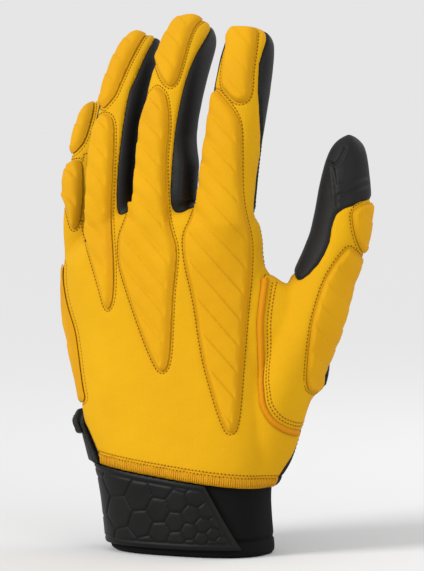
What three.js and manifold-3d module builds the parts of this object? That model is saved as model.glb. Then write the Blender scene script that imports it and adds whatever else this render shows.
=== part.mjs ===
// Football receiver glove for the left hand, in its worn shape and open at the cuff.
// +Z runs from the wrist to the fingertips, -Y is the back of the hand, +X is the thumb side.
// The origin is the centre of the cuff's mouth.
import * as THREE from "three";
import { mergeVertices } from "three/addons/utils/BufferGeometryUtils.js";
import Module from "manifold-3d";

const wasm = await Module();
wasm.setup();

// Hand sizes in millimetres
const rootHeight = 140;
const palmBreadth = 99;
const handDepth = 50;
const archDrop = 7.8;

// Material thicknesses and the clearance between pieces, in millimetres
const shellWall = 1.8;
const cuffWall = 2.4;
const padThickness = 2;
const strapThickness = 2.2;
const heelThickness = 2;
const pullThickness = 2.2;
const weltThickness = 0.9;
const weltWidth = 3.2;
const clearance = 0.3;

// Fingers: lengths in millimetres, angles in degrees, roots as shares of the hand sizes.
// Bends are the curl at the root, at the two joints and at the tip. Back and pad angles run
// round the finger from its back, and pad places run along it as shares of its length.
const fingers = {
  index: {
    length: 80, breadth: 23.6, depth: 22.4, fan: 4, bends: [5, 10, 14, 20],
    root: [0.157, 0, 1], backFrom: -41, backTo: 78, padFrom: -38, padTo: 46,
    tipPad: [0.615, 0.97], backPadTop: 0.565,
  },
  middle: {
    length: 89, breadth: 23.4, depth: 22.4, fan: 0, bends: [7, 14, 36, 48],
    root: [-0.133, -0.04, 1], backFrom: -41, backTo: 41, padFrom: -38, padTo: 30,
    tipPad: [0.618, 0.975], backPadTop: 0.573,
  },
  ring: {
    length: 87.5, breadth: 22, depth: 21, fan: -2, bends: [0, 22, 40, 49.5],
    root: [-0.384, 0.04, 0.982], backFrom: -41, backTo: 41, padFrom: -38, padTo: 30,
    tipPad: [0.58, 0.975], backPadTop: 0.533,
  },
  pinky: {
    length: 61, breadth: 16, depth: 16, fan: -3, bends: [1, 27, 36, 46],
    root: [-0.586, 0.22, 0.95], backFrom: -105, backTo: 41, padFrom: -62, padTo: 30,
    tipPad: [0.7, 0.965], backPadTop: 0.54,
  },
};
const jointShares = [0, 0.42, 0.74, 1];
const rootTuck = 15;

// Thumb sizes in millimetres and degrees
const thumbReach = 58;
const thumbForward = 33;
const thumbHeight = 174;
const thumbBreadth = 23.4;
const thumbRoll = 68;
const thumbBackFrom = -72;
const thumbBackTo = 63;
const thumbBack = { bottom: 0.609, top: 0.833 };
const thumbWrap = { bottom: 0.6437, shoulder: 0.708, inside: 0.345, lean: 0.035 };
const thumbTipPad = { from: -20, to: 48, bottom: 0.73, top: 0.81 };
const thumbBasePad = { from: -32, to: 45, bottom: 0.39, top: 0.707 };

// Wrist sizes in millimetres and degrees
const hemHeight = 31.8;
const hemTilt = 6.6;
const cuffTuck = 8;
const strapBottom = 3;

// Facets and roundness of the sections
const fingerSides = 12;
const handSides = 24;
const fingerPower = 2.3;
const handPower = 2.5;
const leastRadius = 0.3;
const farAway = 150;
const mouthMargin = 2;
const arcSteps = 8;
const pathSteps = 8;
const leastStep = 0.01;
const flatness = 0.07;

// Finger sections: share of length, then shares of breadth and depth
const fingerShape = [
  [0, 1.02, 1.0], [0.3, 1.0, 1.0], [0.6, 0.99, 0.97], [0.8, 0.95, 0.92],
  [0.92, 0.86, 0.83], [0.975, 0.66, 0.64], [1, 0.26, 0.26],
];

// Hand sections: height over root height, centre and half breadth over palm breadth,
// front-back centre and half depth over hand depth, and the share of the arch
const handShape = [
  [0, 0.005, 0.374, 0, 0.5, 0], [0.15, -0.017, 0.38, 0, 0.49, 0.1],
  [0.25, -0.033, 0.402, 0, 0.48, 0.2], [0.357, -0.063, 0.433, 0.02, 0.46, 0.4],
  [0.464, -0.094, 0.447, 0.03, 0.43, 0.6], [0.62, -0.145, 0.48, 0.04, 0.38, 0.9],
  [0.75, -0.176, 0.5, 0.03, 0.35, 1], [0.843, -0.184, 0.491, 0.02, 0.33, 1],
  [0.886, -0.157, 0.455, 0.015, 0.32, 1], [0.929, -0.124, 0.421, 0.01, 0.3, 1],
  [0.971, -0.11, 0.395, 0.01, 0.25, 1], [0.993, -0.104, 0.34, 0.01, 0.2, 1],
  [1.011, -0.106, 0.227, 0.01, 0.12, 1],
];
const archCrown = -0.08;

// Thumb sections: centre over reach, forward and height, then shares of the breadth
const thumbShape = [
  [0.443, 0.091, 0.185, 0.83, 1.08], [0.513, 0.182, 0.252, 1.08, 1.17],
  [0.588, 0.273, 0.369, 1.19, 1.21], [0.694, 0.394, 0.472, 1.17, 1.25],
  [0.796, 0.515, 0.565, 1.13, 1.21], [0.882, 0.652, 0.663, 1.01, 1.05],
  [0.965, 0.77, 0.76, 0.98, 1.0],
  [0.983, 0.848, 0.838, 0.96, 0.94], [0.983, 0.909, 0.895, 0.87, 0.83],
  [0.99, 0.955, 0.953, 0.68, 0.67], [0.992, 0.979, 0.982, 0.47, 0.46],
  [0.989, 0.988, 1, 0.12, 0.12],
];

// Web between the hand and the thumb: centre over palm breadth, hand depth and root height,
// half height over root height, half depth over hand depth
const webShape = [
  [0.1, 0.04, 0.607, 0.23, 0.24], [0.242, 0.08, 0.614, 0.257, 0.22],
  [0.39, 0.18, 0.6, 0.203, 0.17], [0.53, 0.36, 0.63, 0.143, 0.18],
];

// Seam between the back and the palm: height over root height, the little finger side's
// place over palm breadth, then seam depths over hand depth at that side, the middle,
// the web and the thumb side
const seamShape = [
  [0.1, -0.33, -0.38, 0.04, 0.02, 0.02], [0.257, -0.33, -0.38, 0.04, 0.02, 0.02],
  [0.307, -0.37, -0.32, 0.04, 0.08, 0.2], [0.357, -0.43, -0.24, 0.04, 0.2, 0.42],
  [0.414, -0.5, 0.1, 0.04, 0.24, 0.48], [0.464, -0.52, 0.28, 0.04, 0.24, 0.5],
  [0.643, -0.52, 0.3, 0.04, 0.24, 0.54], [0.8, -0.52, 0.3, 0.04, 0.32, 0.56],
  [0.975, -0.48, 0.2, 0.04, 0.34, 0.3],
];
const edgeStep = 0.08;
const middlePlace = 0.2;
const webPlace = 0.38;
const thumbPlace = 0.62;
const weltBack = 0.16;

// Outlines on the back of the hand, over palm breadth and root height
const indexPadOutline = [
  [0.035, 1.03], [0.024, 0.93], [0.028, 0.84], [0.065, 0.745], [0.17, 0.49], [0.207, 0.415],
  [0.228, 0.372], [0.255, 0.362], [0.276, 0.375], [0.282, 0.44], [0.273, 0.54],
  [0.286, 0.73], [0.292, 0.83], [0.287, 0.91], [0.269, 0.97], [0.244, 1.03],
];
const middlePadOutline = [
  [-0.245, 1.03], [-0.263, 0.97], [-0.282, 0.91], [-0.272, 0.84], [-0.229, 0.76],
  [-0.171, 0.67], [-0.101, 0.57], [-0.055, 0.532], [-0.027, 0.535], [-0.014, 0.59],
  [-0.018, 0.69], [-0.002, 0.82], [0.006, 0.92], [-0.025, 1.0], [-0.035, 1.03],
];
const ringPadOutline = [
  [-0.48, 1.02], [-0.47, 0.94], [-0.455, 0.89], [-0.403, 0.79], [-0.361, 0.722],
  [-0.317, 0.709], [-0.285, 0.75], [-0.286, 0.86], [-0.306, 0.92], [-0.322, 0.98], [-0.325, 1.02],
];
const sidePadOutline = [
  [-0.73, 0.855], [-0.647, 0.845], [-0.595, 0.747], [-0.535, 0.695], [-0.505, 0.617],
  [-0.449, 0.494], [-0.425, 0.45], [-0.458, 0.436], [-0.8, 0.436], [-0.8, 0.83],
];
const sidePadBack = 0.2;
const thumbSeamPath = [
  [0.323, 0.85], [0.335, 0.8], [0.336, 0.76], [0.331, 0.69], [0.335, 0.62], [0.339, 0.53],
  [0.353, 0.483], [0.363, 0.441], [0.401, 0.397], [0.438, 0.372], [0.5, 0.335],
];
const heelOutline = [
  [-0.9, 0.425], [-0.5, 0.425], [-0.3, 0.39], [-0.22, 0.32], [-0.22, 0.1], [-0.9, 0.1],
];
const pullOutline = [[-0.9, 0.42], [-0.42, 0.42], [-0.42, 0.33], [-0.9, 0.35]];
const pullBack = 0.24;
const strapOutline = [
  [-0.9, -0.1], [0.335, -0.1], [0.335, 0], [0.17, 0.215], [0.17, 0.5], [-0.9, 0.5],
];
const strapRearOutline = [[-0.9, -0.1], [0.12, -0.1], [0.12, 0.5], [-0.9, 0.5]];

// Geometry helpers
function solidOf(geometry) {
  const bare = geometry.clone();
  bare.deleteAttribute("normal");
  bare.deleteAttribute("uv");
  const merged = mergeVertices(bare, 1e-4);
  return new wasm.Manifold(new wasm.Mesh({
    numProp: 3,
    vertProperties: Float32Array.from(merged.attributes.position.array),
    triVerts: Uint32Array.from(merged.index.array),
  }));
}

function signedVolume(points, faces) {
  let volume = 0;
  for (const [a, b, c] of faces) {
    volume += points[a].dot(new THREE.Vector3().crossVectors(points[b], points[c]));
  }
  return volume;
}

// A closed solid through rings that have the same number of points
function loft(rings) {
  const sides = rings[0].length;
  const points = rings.flat();
  const faces = [];
  for (let i = 0; i + 1 < rings.length; i += 1) {
    for (let k = 0; k < sides; k += 1) {
      const here = i * sides + k;
      const next = i * sides + (k + 1) % sides;
      faces.push([here, next, next + sides], [here, next + sides, here + sides]);
    }
  }
  const last = (rings.length - 1) * sides;
  for (const [start, flip] of [[0, true], [last, false]]) {
    const middle = new THREE.Vector3();
    for (let k = 0; k < sides; k += 1) middle.addScaledVector(points[start + k], 1 / sides);
    points.push(middle);
    const centre = points.length - 1;
    for (let k = 0; k < sides; k += 1) {
      const here = start + k;
      const next = start + (k + 1) % sides;
      faces.push(flip ? [next, here, centre] : [here, next, centre]);
    }
  }
  const inward = signedVolume(points, faces) < 0;
  return new wasm.Manifold(new wasm.Mesh({
    numProp: 3,
    vertProperties: Float32Array.from(points.flatMap((p) => [p.x, p.y, p.z])),
    triVerts: Uint32Array.from(faces.flatMap(([a, b, c]) => (inward ? [a, c, b] : [a, b, c]))),
  }));
}

// A prism over an outline in the XZ plane, given as shares of the palm and root sizes
function handPrism(outline, yFrom, yTo) {
  const corners = outline.map(([x, z]) => new THREE.Vector2(x * palmBreadth, z * rootHeight));
  const prism = new THREE.ExtrudeGeometry(new THREE.Shape(corners), {
    depth: yTo - yFrom, bevelEnabled: false,
  });
  prism.rotateX(Math.PI / 2);
  prism.translate(0, yTo, 0);
  return solidOf(prism);
}

// Everything under a plane that is parallel to the hem and the given rise above it
function belowHem(rise) {
  const slab = new THREE.BoxGeometry(2 * farAway, 2 * farAway, farAway);
  slab.translate(0, 0, -farAway / 2);
  slab.rotateY(THREE.MathUtils.degToRad(hemTilt));
  slab.translate(0, 0, hemHeight + rise);
  return solidOf(slab);
}

function joined(solids) {
  return solids.reduce((all, solid) => all.add(solid));
}

// The largest body of a cut, without the slivers that a cut may leave
function mainBody(solid) {
  const bodies = solid.decompose();
  return bodies.reduce((best, body) => (body.volume() > best.volume() ? body : best));
}

// Rays: lists of stations, each with a centre, directions and half sizes
function interpolate(places, values, at) {
  let i = 0;
  while (i + 2 < places.length && at > places[i + 1]) i += 1;
  const share = THREE.MathUtils.clamp((at - places[i]) / (places[i + 1] - places[i]), 0, 1);
  return values[i] + (values[i + 1] - values[i]) * share;
}

function fingerDirections(finger, share) {
  const bend = THREE.MathUtils.degToRad(interpolate(jointShares, finger.bends, share));
  const fan = THREE.MathUtils.degToRad(finger.fan);
  const along = new THREE.Vector3(
    Math.sin(fan) * Math.cos(bend), Math.sin(bend), Math.cos(fan) * Math.cos(bend),
  );
  const side = new THREE.Vector3(Math.cos(fan), 0, -Math.sin(fan));
  const back = new THREE.Vector3().crossVectors(side, along);
  return { along, side, back };
}

function fingerRay(finger) {
  const [rootX, rootY, rootZ] = finger.root;
  const root = new THREE.Vector3(rootX * palmBreadth, rootY * handDepth, rootZ * rootHeight);
  const start = fingerDirections(finger, 0);
  const stations = [{
    ...start, share: -rootTuck / finger.length,
    centre: root.clone().addScaledVector(start.along, -rootTuck),
    halfBreadth: finger.breadth / 2, halfDepth: finger.depth / 2,
  }];
  const centre = root.clone();
  let last = 0;
  for (const [share, breadth, depth] of fingerShape) {
    for (let i = 0; i < pathSteps; i += 1) {
      const middle = last + (share - last) * (i + 0.5) / pathSteps;
      const step = (share - last) * finger.length / pathSteps;
      centre.addScaledVector(fingerDirections(finger, middle).along, step);
    }
    last = share;
    stations.push({
      ...fingerDirections(finger, share), share, centre: centre.clone(),
      halfBreadth: breadth * finger.breadth / 2, halfDepth: depth * finger.depth / 2,
    });
  }
  return { stations, length: finger.length, power: fingerPower, sides: fingerSides };
}

function thumbRay() {
  const roll = THREE.MathUtils.degToRad(thumbRoll);
  const outward = new THREE.Vector3(Math.sin(roll), -Math.cos(roll), 0);
  const centres = thumbShape.map(([x, y, z]) => (
    new THREE.Vector3(x * thumbReach, y * thumbForward, z * thumbHeight)
  ));
  const stations = thumbShape.map(([, , share, breadth, depth], i) => {
    const before = centres[Math.max(i - 1, 0)];
    const after = centres[Math.min(i + 1, centres.length - 1)];
    const along = after.clone().sub(before).normalize();
    const back = outward.clone().addScaledVector(along, -outward.dot(along)).normalize();
    const side = new THREE.Vector3().crossVectors(along, back);
    return {
      along, back, side, share, centre: centres[i],
      halfBreadth: breadth * thumbBreadth / 2, halfDepth: depth * thumbBreadth / 2,
    };
  });
  return { stations, length: thumbHeight, power: fingerPower, sides: fingerSides };
}

function handRay() {
  const stations = handShape.map(([height, x, breadth, y, depth, arch]) => ({
    share: height, arch,
    centre: new THREE.Vector3(x * palmBreadth, y * handDepth, height * rootHeight),
    along: new THREE.Vector3(0, 0, 1), side: new THREE.Vector3(1, 0, 0),
    back: new THREE.Vector3(0, -1, 0),
    halfBreadth: breadth * palmBreadth, halfDepth: depth * handDepth,
  }));
  return { stations, length: rootHeight, power: handPower, sides: handSides };
}

function webRay() {
  const stations = webShape.map(([x, y, z, height, depth]) => ({
    share: x,
    centre: new THREE.Vector3(x * palmBreadth, y * handDepth, z * rootHeight),
    along: new THREE.Vector3(1, 0, 0), side: new THREE.Vector3(0, 0, 1),
    back: new THREE.Vector3(0, -1, 0),
    halfBreadth: height * rootHeight, halfDepth: depth * handDepth,
  }));
  return { stations, length: palmBreadth, power: fingerPower, sides: fingerSides };
}

// A point of a station's section; the angle runs from the back towards the side
function sectionPoint(station, power, angle, breadth, depth) {
  const s = Math.sin(angle);
  const c = Math.cos(angle);
  const across = Math.sign(s) * Math.abs(s) ** (2 / power) * breadth;
  const up = Math.sign(c) * Math.abs(c) ** (2 / power) * depth;
  const point = station.centre.clone();
  point.addScaledVector(station.side, across).addScaledVector(station.back, up);
  if (station.arch) {
    const place = (point.x - archCrown * palmBreadth) / (palmBreadth / 2);
    point.y += archDrop * station.arch * place * place;
  }
  return point;
}

// The closed tube of a ray, moved out by an offset along its surface normal
function tube(ray, offset) {
  const rings = ray.stations.map((station, i) => {
    const before = ray.stations[Math.max(i - 1, 0)];
    const after = ray.stations[Math.min(i + 1, ray.stations.length - 1)];
    const run = after.centre.distanceTo(before.centre);
    const slope = (after.halfBreadth - before.halfBreadth) / run;
    const outward = 1 / Math.hypot(1, slope);
    const moved = { ...station, centre: station.centre.clone() };
    moved.centre.addScaledVector(station.along, -slope * outward * offset);
    const breadth = Math.max(station.halfBreadth + outward * offset, leastRadius);
    const depth = Math.max(station.halfDepth + outward * offset, leastRadius);
    return Array.from({ length: ray.sides }, (_, k) => (
      sectionPoint(moved, ray.power, 2 * Math.PI * k / ray.sides, breadth, depth)
    ));
  });
  return loft(rings);
}

function stationAt(ray, share) {
  const { stations } = ray;
  let i = 0;
  while (i + 2 < stations.length && share > stations[i + 1].share) i += 1;
  const [a, b] = [stations[i], stations[i + 1]];
  const t = (share - a.share) / (b.share - a.share);
  return {
    centre: a.centre.clone().lerp(b.centre, t),
    along: a.along.clone().lerp(b.along, t).normalize(),
    side: a.side.clone().lerp(b.side, t).normalize(),
    back: a.back.clone().lerp(b.back, t).normalize(),
    halfBreadth: THREE.MathUtils.lerp(a.halfBreadth, b.halfBreadth, t),
    halfDepth: THREE.MathUtils.lerp(a.halfDepth, b.halfDepth, t),
  };
}

// A wedge of a ray between two angles and two places along it, grown by a margin
function sector(ray, from, to, start, end, reach, margin) {
  const first = (start - margin) / ray.length;
  const last = (end + margin) / ray.length;
  const shares = ray.stations.map((station) => station.share);
  const inner = shares.filter((share) => share > first + leastStep && share < last - leastStep);
  const rings = [first, ...inner, last].map((share) => {
    const station = stationAt(ray, share);
    const spread = margin / station.halfBreadth;
    const low = THREE.MathUtils.degToRad(from) - spread;
    const high = THREE.MathUtils.degToRad(to) + spread;
    const arc = Array.from({ length: arcSteps + 1 }, (_, k) => sectionPoint(
      station, ray.power, low + (high - low) * k / arcSteps,
      station.halfBreadth + reach, station.halfDepth + reach,
    ));
    return [station.centre, ...arc];
  });
  return loft(rings);
}

// The glove's whole body
const rays = {
  hand: handRay(), web: webRay(), thumb: thumbRay(),
  index: fingerRay(fingers.index), middle: fingerRay(fingers.middle),
  ring: fingerRay(fingers.ring), pinky: fingerRay(fingers.pinky),
};

function gloveBody(offset) {
  return joined(Object.values(rays).map((ray) => tube(ray, offset)));
}

function layer(thickness) {
  return gloveBody(clearance + thickness).subtract(gloveBody(clearance));
}

const shell = gloveBody(0).subtract(gloveBody(-shellWall)).subtract(belowHem(0));

// Regions that share the shell out among its panels, each grown by a margin
const shellReach = 1;

function backRegion(margin) {
  const rings = seamShape.map(([height, edge, edgeY, middleY, webY, thumbY], i) => {
    const top = i === seamShape.length - 1 ? margin : 0;
    const places = [
      [-farAway, edgeY * handDepth], [edge * palmBreadth, edgeY * handDepth],
      [(edge + edgeStep) * palmBreadth, middleY * handDepth],
      [middlePlace * palmBreadth, middleY * handDepth],
      [webPlace * palmBreadth, webY * handDepth], [thumbPlace * palmBreadth, thumbY * handDepth],
      [farAway, thumbY * handDepth],
    ];
    const z = height * rootHeight + top;
    const seam = places.map(([x, y]) => new THREE.Vector3(x, y + margin, z));
    return [new THREE.Vector3(farAway, -farAway, z), new THREE.Vector3(-farAway, -farAway, z), ...seam];
  });
  return loft(rings);
}

function fingerBack(name, margin) {
  const { length, backFrom, backTo } = fingers[name];
  return sector(rays[name], backFrom, backTo, -rootTuck / 2, length + shellWall, shellReach, margin);
}

function thumbBackRegion(margin) {
  const [start, end] = [thumbBack.bottom, thumbBack.top].map((share) => share * thumbHeight);
  return sector(rays.thumb, thumbBackFrom, thumbBackTo, start, end, shellReach, margin);
}

function thumbSide(margin) {
  const far = farAway / palmBreadth;
  const grow = margin / palmBreadth;
  const path = thumbSeamPath.map(([x, z]) => [x - grow, z]);
  const [, low] = path[path.length - 1];
  const top = (thumbWrap.bottom * thumbHeight + margin) / rootHeight;
  const side = path.filter(([, z]) => z < top);
  return handPrism([[side[0][0], top], ...side, [far, low], [far, top]], -farAway, farAway);
}

function thumbPanelRegion(margin) {
  return joined([thumbBackRegion(margin), backRegion(margin).intersect(thumbSide(margin))]);
}

function thumbWrapRegion(margin) {
  const far = farAway / palmBreadth;
  const left = thumbWrap.inside - margin / palmBreadth;
  const bottom = (thumbWrap.bottom * thumbHeight - margin) / rootHeight;
  const shoulder = thumbWrap.shoulder * thumbHeight / rootHeight;
  const top = (thumbHeight + thumbBreadth) / rootHeight;
  const lean = left + thumbWrap.lean;
  const outline = [[left, bottom], [far, bottom], [far, top], [lean, top], [lean, shoulder]];
  return handPrism(outline, -farAway, farAway);
}

const forks = [
  { name: "fourchette_pinky_ring", left: "pinky", right: "ring", crotch: 0.929 },
  { name: "fourchette_ring_middle", left: "ring", right: "middle", crotch: 1.007 },
  { name: "fourchette_middle_index", left: "middle", right: "index", crotch: 1.007 },
];
const forkAngle = 125;
const forkBite = 2;
const forkRise = 6;

function crotchBlock(fork, margin) {
  const leftRay = rays[fork.left].stations[1];
  const rightRay = rays[fork.right].stations[1];
  const from = leftRay.centre.x + leftRay.halfBreadth - forkBite - margin;
  const to = rightRay.centre.x - rightRay.halfBreadth + forkBite + margin;
  const crotch = fork.crotch * rootHeight;
  const bottom = crotch - shellWall - forkBite - margin;
  const top = crotch + forkRise + margin;
  const corners = [[from, bottom], [to, bottom], [to, top], [from, top]];
  return handPrism(corners.map(([x, z]) => [x / palmBreadth, z / rootHeight]), -farAway, farAway);
}

function forkRegion(fork, margin) {
  const start = seamShape[seamShape.length - 1][0] * rootHeight + 2 * clearance;
  const wing = (name, from, to) => {
    const { root, length } = fingers[name];
    return sector(rays[name], from, to, start - root[2] * rootHeight, length + shellWall, shellReach, margin);
  };
  return joined([
    wing(fork.left, fingers[fork.left].backTo, forkAngle),
    wing(fork.right, -forkAngle, fingers[fork.right].backFrom),
    crotchBlock(fork, margin),
  ]);
}

// Panels
function backPanel() {
  const gold = joined([backRegion(0), ...Object.keys(fingers).map((name) => fingerBack(name, 0))]);
  const taken = joined([
    thumbPanelRegion(clearance), thumbWrapRegion(clearance),
    ...forks.map((fork) => crotchBlock(fork, clearance)),
  ]);
  return mainBody(shell.intersect(gold).subtract(taken));
}

function thumbPanel() {
  return mainBody(shell.intersect(thumbPanelRegion(0)));
}

function thumbTipWrap() {
  return mainBody(shell.intersect(thumbWrapRegion(0)).subtract(thumbPanelRegion(clearance)));
}

function fourchette(fork) {
  const backs = joined([fingerBack(fork.left, clearance), fingerBack(fork.right, clearance)]);
  return mainBody(shell.intersect(forkRegion(fork, 0)).subtract(backs));
}

function palmPanel() {
  const taken = joined([
    backRegion(clearance), thumbPanelRegion(clearance), thumbWrapRegion(clearance),
    ...Object.keys(fingers).map((name) => fingerBack(name, clearance)),
    ...forks.map((fork) => forkRegion(fork, clearance)),
  ]);
  return mainBody(shell.subtract(taken));
}

// Raised pieces on the panels
const padReach = clearance + padThickness + shellReach;
const padLayer = layer(padThickness);

function tipPad(name) {
  const { padFrom, padTo, tipPad: [start, end], length } = fingers[name];
  return sector(rays[name], padFrom, padTo, start * length, end * length, padReach, 0);
}

function backPad(name, outline) {
  const { padFrom, padTo, root, backPadTop, length } = fingers[name];
  const upper = sector(rays[name], padFrom, padTo, 0, backPadTop * length, padReach, 0);
  if (!outline) return upper;
  return upper.add(handPrism(outline, -farAway, root[1] * handDepth));
}

function thumbPad({ from, to, bottom, top }) {
  return sector(rays.thumb, from, to, bottom * thumbHeight, top * thumbHeight, padReach, 0);
}

function pad(region) {
  return mainBody(padLayer.intersect(region));
}

function seamWelt() {
  const half = weltWidth / 2 / palmBreadth;
  const left = thumbSeamPath.map(([x, z]) => [x - half, z]);
  const right = thumbSeamPath.map(([x, z]) => [x + half, z]).reverse();
  const region = handPrism([...left, ...right], -farAway, weltBack * handDepth);
  return mainBody(layer(weltThickness).intersect(region));
}

// Wrist: the hand's tube goes on below the cuff's mouth and is cut off level with it
function wristTube(offset) {
  const [mouth] = rays.hand.stations;
  const under = { ...mouth, centre: mouth.centre.clone().addScaledVector(mouth.along, -mouthMargin) };
  return tube({ ...rays.hand, stations: [under, ...rays.hand.stations] }, offset);
}

function belowLevel(height) {
  const slab = new THREE.BoxGeometry(2 * farAway, 2 * farAway, farAway);
  slab.translate(0, 0, height - farAway / 2);
  return solidOf(slab);
}

function cuff() {
  const outer = wristTube(-shellWall - clearance).intersect(belowHem(cuffTuck));
  const inner = wristTube(-shellWall - clearance - cuffWall);
  return mainBody(outer.subtract(inner).subtract(belowLevel(0)));
}

function wristStrap() {
  const band = wristTube(strapThickness - shellWall).subtract(wristTube(-shellWall));
  const front = handPrism(strapOutline, -farAway, 0);
  const rear = handPrism(strapRearOutline, 0, farAway);
  const region = front.add(rear).intersect(belowHem(-clearance));
  return mainBody(band.intersect(region).subtract(belowLevel(strapBottom)));
}

function heelTab() {
  const region = handPrism(heelOutline, -farAway, farAway);
  const taken = backRegion(clearance).add(belowHem(clearance));
  return mainBody(layer(heelThickness).intersect(region).subtract(taken));
}

function pullTab() {
  const under = clearance + heelThickness + clearance;
  const flap = gloveBody(under + pullThickness).subtract(gloveBody(under));
  const region = handPrism(pullOutline, -farAway, pullBack * handDepth);
  return mainBody(flap.intersect(region).subtract(backRegion(clearance)));
}

// Materials
const goldKnit = new THREE.MeshStandardMaterial({ color: 0xe8ae17, roughness: 0.75, metalness: 0 });
const goldFoam = new THREE.MeshStandardMaterial({ color: 0xe3a513, roughness: 0.7, metalness: 0 });
const blackGrip = new THREE.MeshStandardMaterial({ color: 0x1c1c1e, roughness: 0.5, metalness: 0 });
const blackKnit = new THREE.MeshStandardMaterial({ color: 0x18181a, roughness: 0.9, metalness: 0 });
const blackRubber = new THREE.MeshStandardMaterial({ color: 0x1f1f20, roughness: 0.55, metalness: 0 });

function meshOf(name, solid, material) {
  const { vertProperties, triVerts } = solid.simplify(flatness).getMesh();
  const geometry = new THREE.BufferGeometry();
  geometry.setAttribute("position", new THREE.BufferAttribute(Float32Array.from(vertProperties), 3));
  geometry.setIndex(new THREE.BufferAttribute(Uint32Array.from(triVerts), 1));
  geometry.computeVertexNormals();
  const mesh = new THREE.Mesh(geometry, material);
  mesh.name = name;
  return mesh;
}

const glove = new THREE.Group();
glove.name = "receiver_glove";
glove.add(
  meshOf("back_panel", backPanel(), goldKnit),
  meshOf("thumb_panel", thumbPanel(), goldKnit),
  meshOf("palm_panel", palmPanel(), blackGrip),
  meshOf("thumb_wrap", thumbTipWrap(), blackGrip),
  ...forks.map((fork) => meshOf(fork.name, fourchette(fork), blackGrip)),
  ...Object.keys(fingers).map((name) => meshOf(`${name}_tip_pad`, pad(tipPad(name)), goldFoam)),
  meshOf("index_back_pad", pad(backPad("index", indexPadOutline)), goldFoam),
  meshOf("middle_back_pad", pad(backPad("middle", middlePadOutline)), goldFoam),
  meshOf("ring_back_pad", pad(backPad("ring", ringPadOutline)), goldFoam),
  meshOf("pinky_back_pad", pad(backPad("pinky")), goldFoam),
  meshOf("side_pad", pad(handPrism(sidePadOutline, -farAway, sidePadBack * handDepth)), goldFoam),
  meshOf("thumb_tip_pad", pad(thumbPad(thumbTipPad)), goldFoam),
  meshOf("thumb_base_pad", pad(thumbPad(thumbBasePad)), goldFoam),
  meshOf("thumb_seam_welt", seamWelt(), goldFoam),
  meshOf("cuff", cuff(), blackKnit),
  meshOf("wrist_strap", wristStrap(), blackRubber),
  meshOf("heel_tab", heelTab(), blackGrip),
  meshOf("pull_tab", pullTab(), blackGrip),
);

export default glove;
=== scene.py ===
"""Football receiver glove for the left hand: knit back, foam pads, grip palm, cuff and strap.

Lengths are in millimetres until a mesh is made, and every mesh is in metres in the frame of
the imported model: +Z from the wrist to the fingertips, -Y the back of the hand, +X the thumb.
"""
import math
from functools import partial

import bpy
import numpy as np
from mathutils import Matrix, Vector


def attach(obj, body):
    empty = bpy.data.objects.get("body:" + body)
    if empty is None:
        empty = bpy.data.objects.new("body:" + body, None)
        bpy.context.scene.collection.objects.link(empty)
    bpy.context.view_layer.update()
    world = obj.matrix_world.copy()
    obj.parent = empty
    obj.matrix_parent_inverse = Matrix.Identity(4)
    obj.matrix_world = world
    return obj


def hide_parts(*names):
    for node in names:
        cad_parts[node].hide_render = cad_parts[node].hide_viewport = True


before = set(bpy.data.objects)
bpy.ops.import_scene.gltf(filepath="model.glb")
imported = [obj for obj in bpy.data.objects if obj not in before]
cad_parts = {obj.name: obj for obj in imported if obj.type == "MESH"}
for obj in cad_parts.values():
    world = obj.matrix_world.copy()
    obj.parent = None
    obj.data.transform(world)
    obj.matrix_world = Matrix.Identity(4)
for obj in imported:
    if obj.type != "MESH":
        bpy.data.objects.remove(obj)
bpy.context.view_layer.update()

MM = 0.001

# Sizes of the hand, as in the solids
ROOT_HEIGHT = 140.0
PALM_BREADTH = 99.0
HAND_DEPTH = 50.0
ARCH_DROP = 7.8
SHELL_WALL = 1.8
CUFF_WALL = 2.4
PAD_THICKNESS = 2.0
STRAP_THICKNESS = 2.2
HEEL_THICKNESS = 2.0
PULL_THICKNESS = 2.2
WELT_THICKNESS = 0.9
WELT_REACH = 1.15
CLEARANCE = 0.3
ROOT_TUCK = 15.0
HEM_HEIGHT = 31.8
HEM_TILT = math.radians(6.6)
CUFF_TUCK = 8.0
STRAP_BOTTOM = 3.0
FINGER_POWER = 2.3
HAND_POWER = 2.5
ARCH_CROWN = -0.08

FINGERS = {
    "index": dict(length=80.0, breadth=23.6, depth=22.4, fan=4, bends=[5, 10, 14, 20],
                  root=[0.157, 0, 1]),
    "middle": dict(length=89.0, breadth=23.4, depth=22.4, fan=0, bends=[7, 14, 36, 48],
                   root=[-0.133, -0.04, 1]),
    "ring": dict(length=87.5, breadth=22.0, depth=21.0, fan=-2, bends=[0, 22, 40, 49.5],
                 root=[-0.384, 0.04, 0.982]),
    "pinky": dict(length=61.0, breadth=16.0, depth=16.0, fan=-3, bends=[1, 27, 36, 46],
                  root=[-0.586, 0.22, 0.95]),
}
JOINT_SHARES = [0, 0.42, 0.74, 1]
FINGER_SHAPE = np.array([
    [0, 1.02, 1.0], [0.3, 1.0, 1.0], [0.6, 0.99, 0.97], [0.8, 0.95, 0.92],
    [0.92, 0.86, 0.83], [0.975, 0.66, 0.64], [1, 0.26, 0.26],
])

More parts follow.
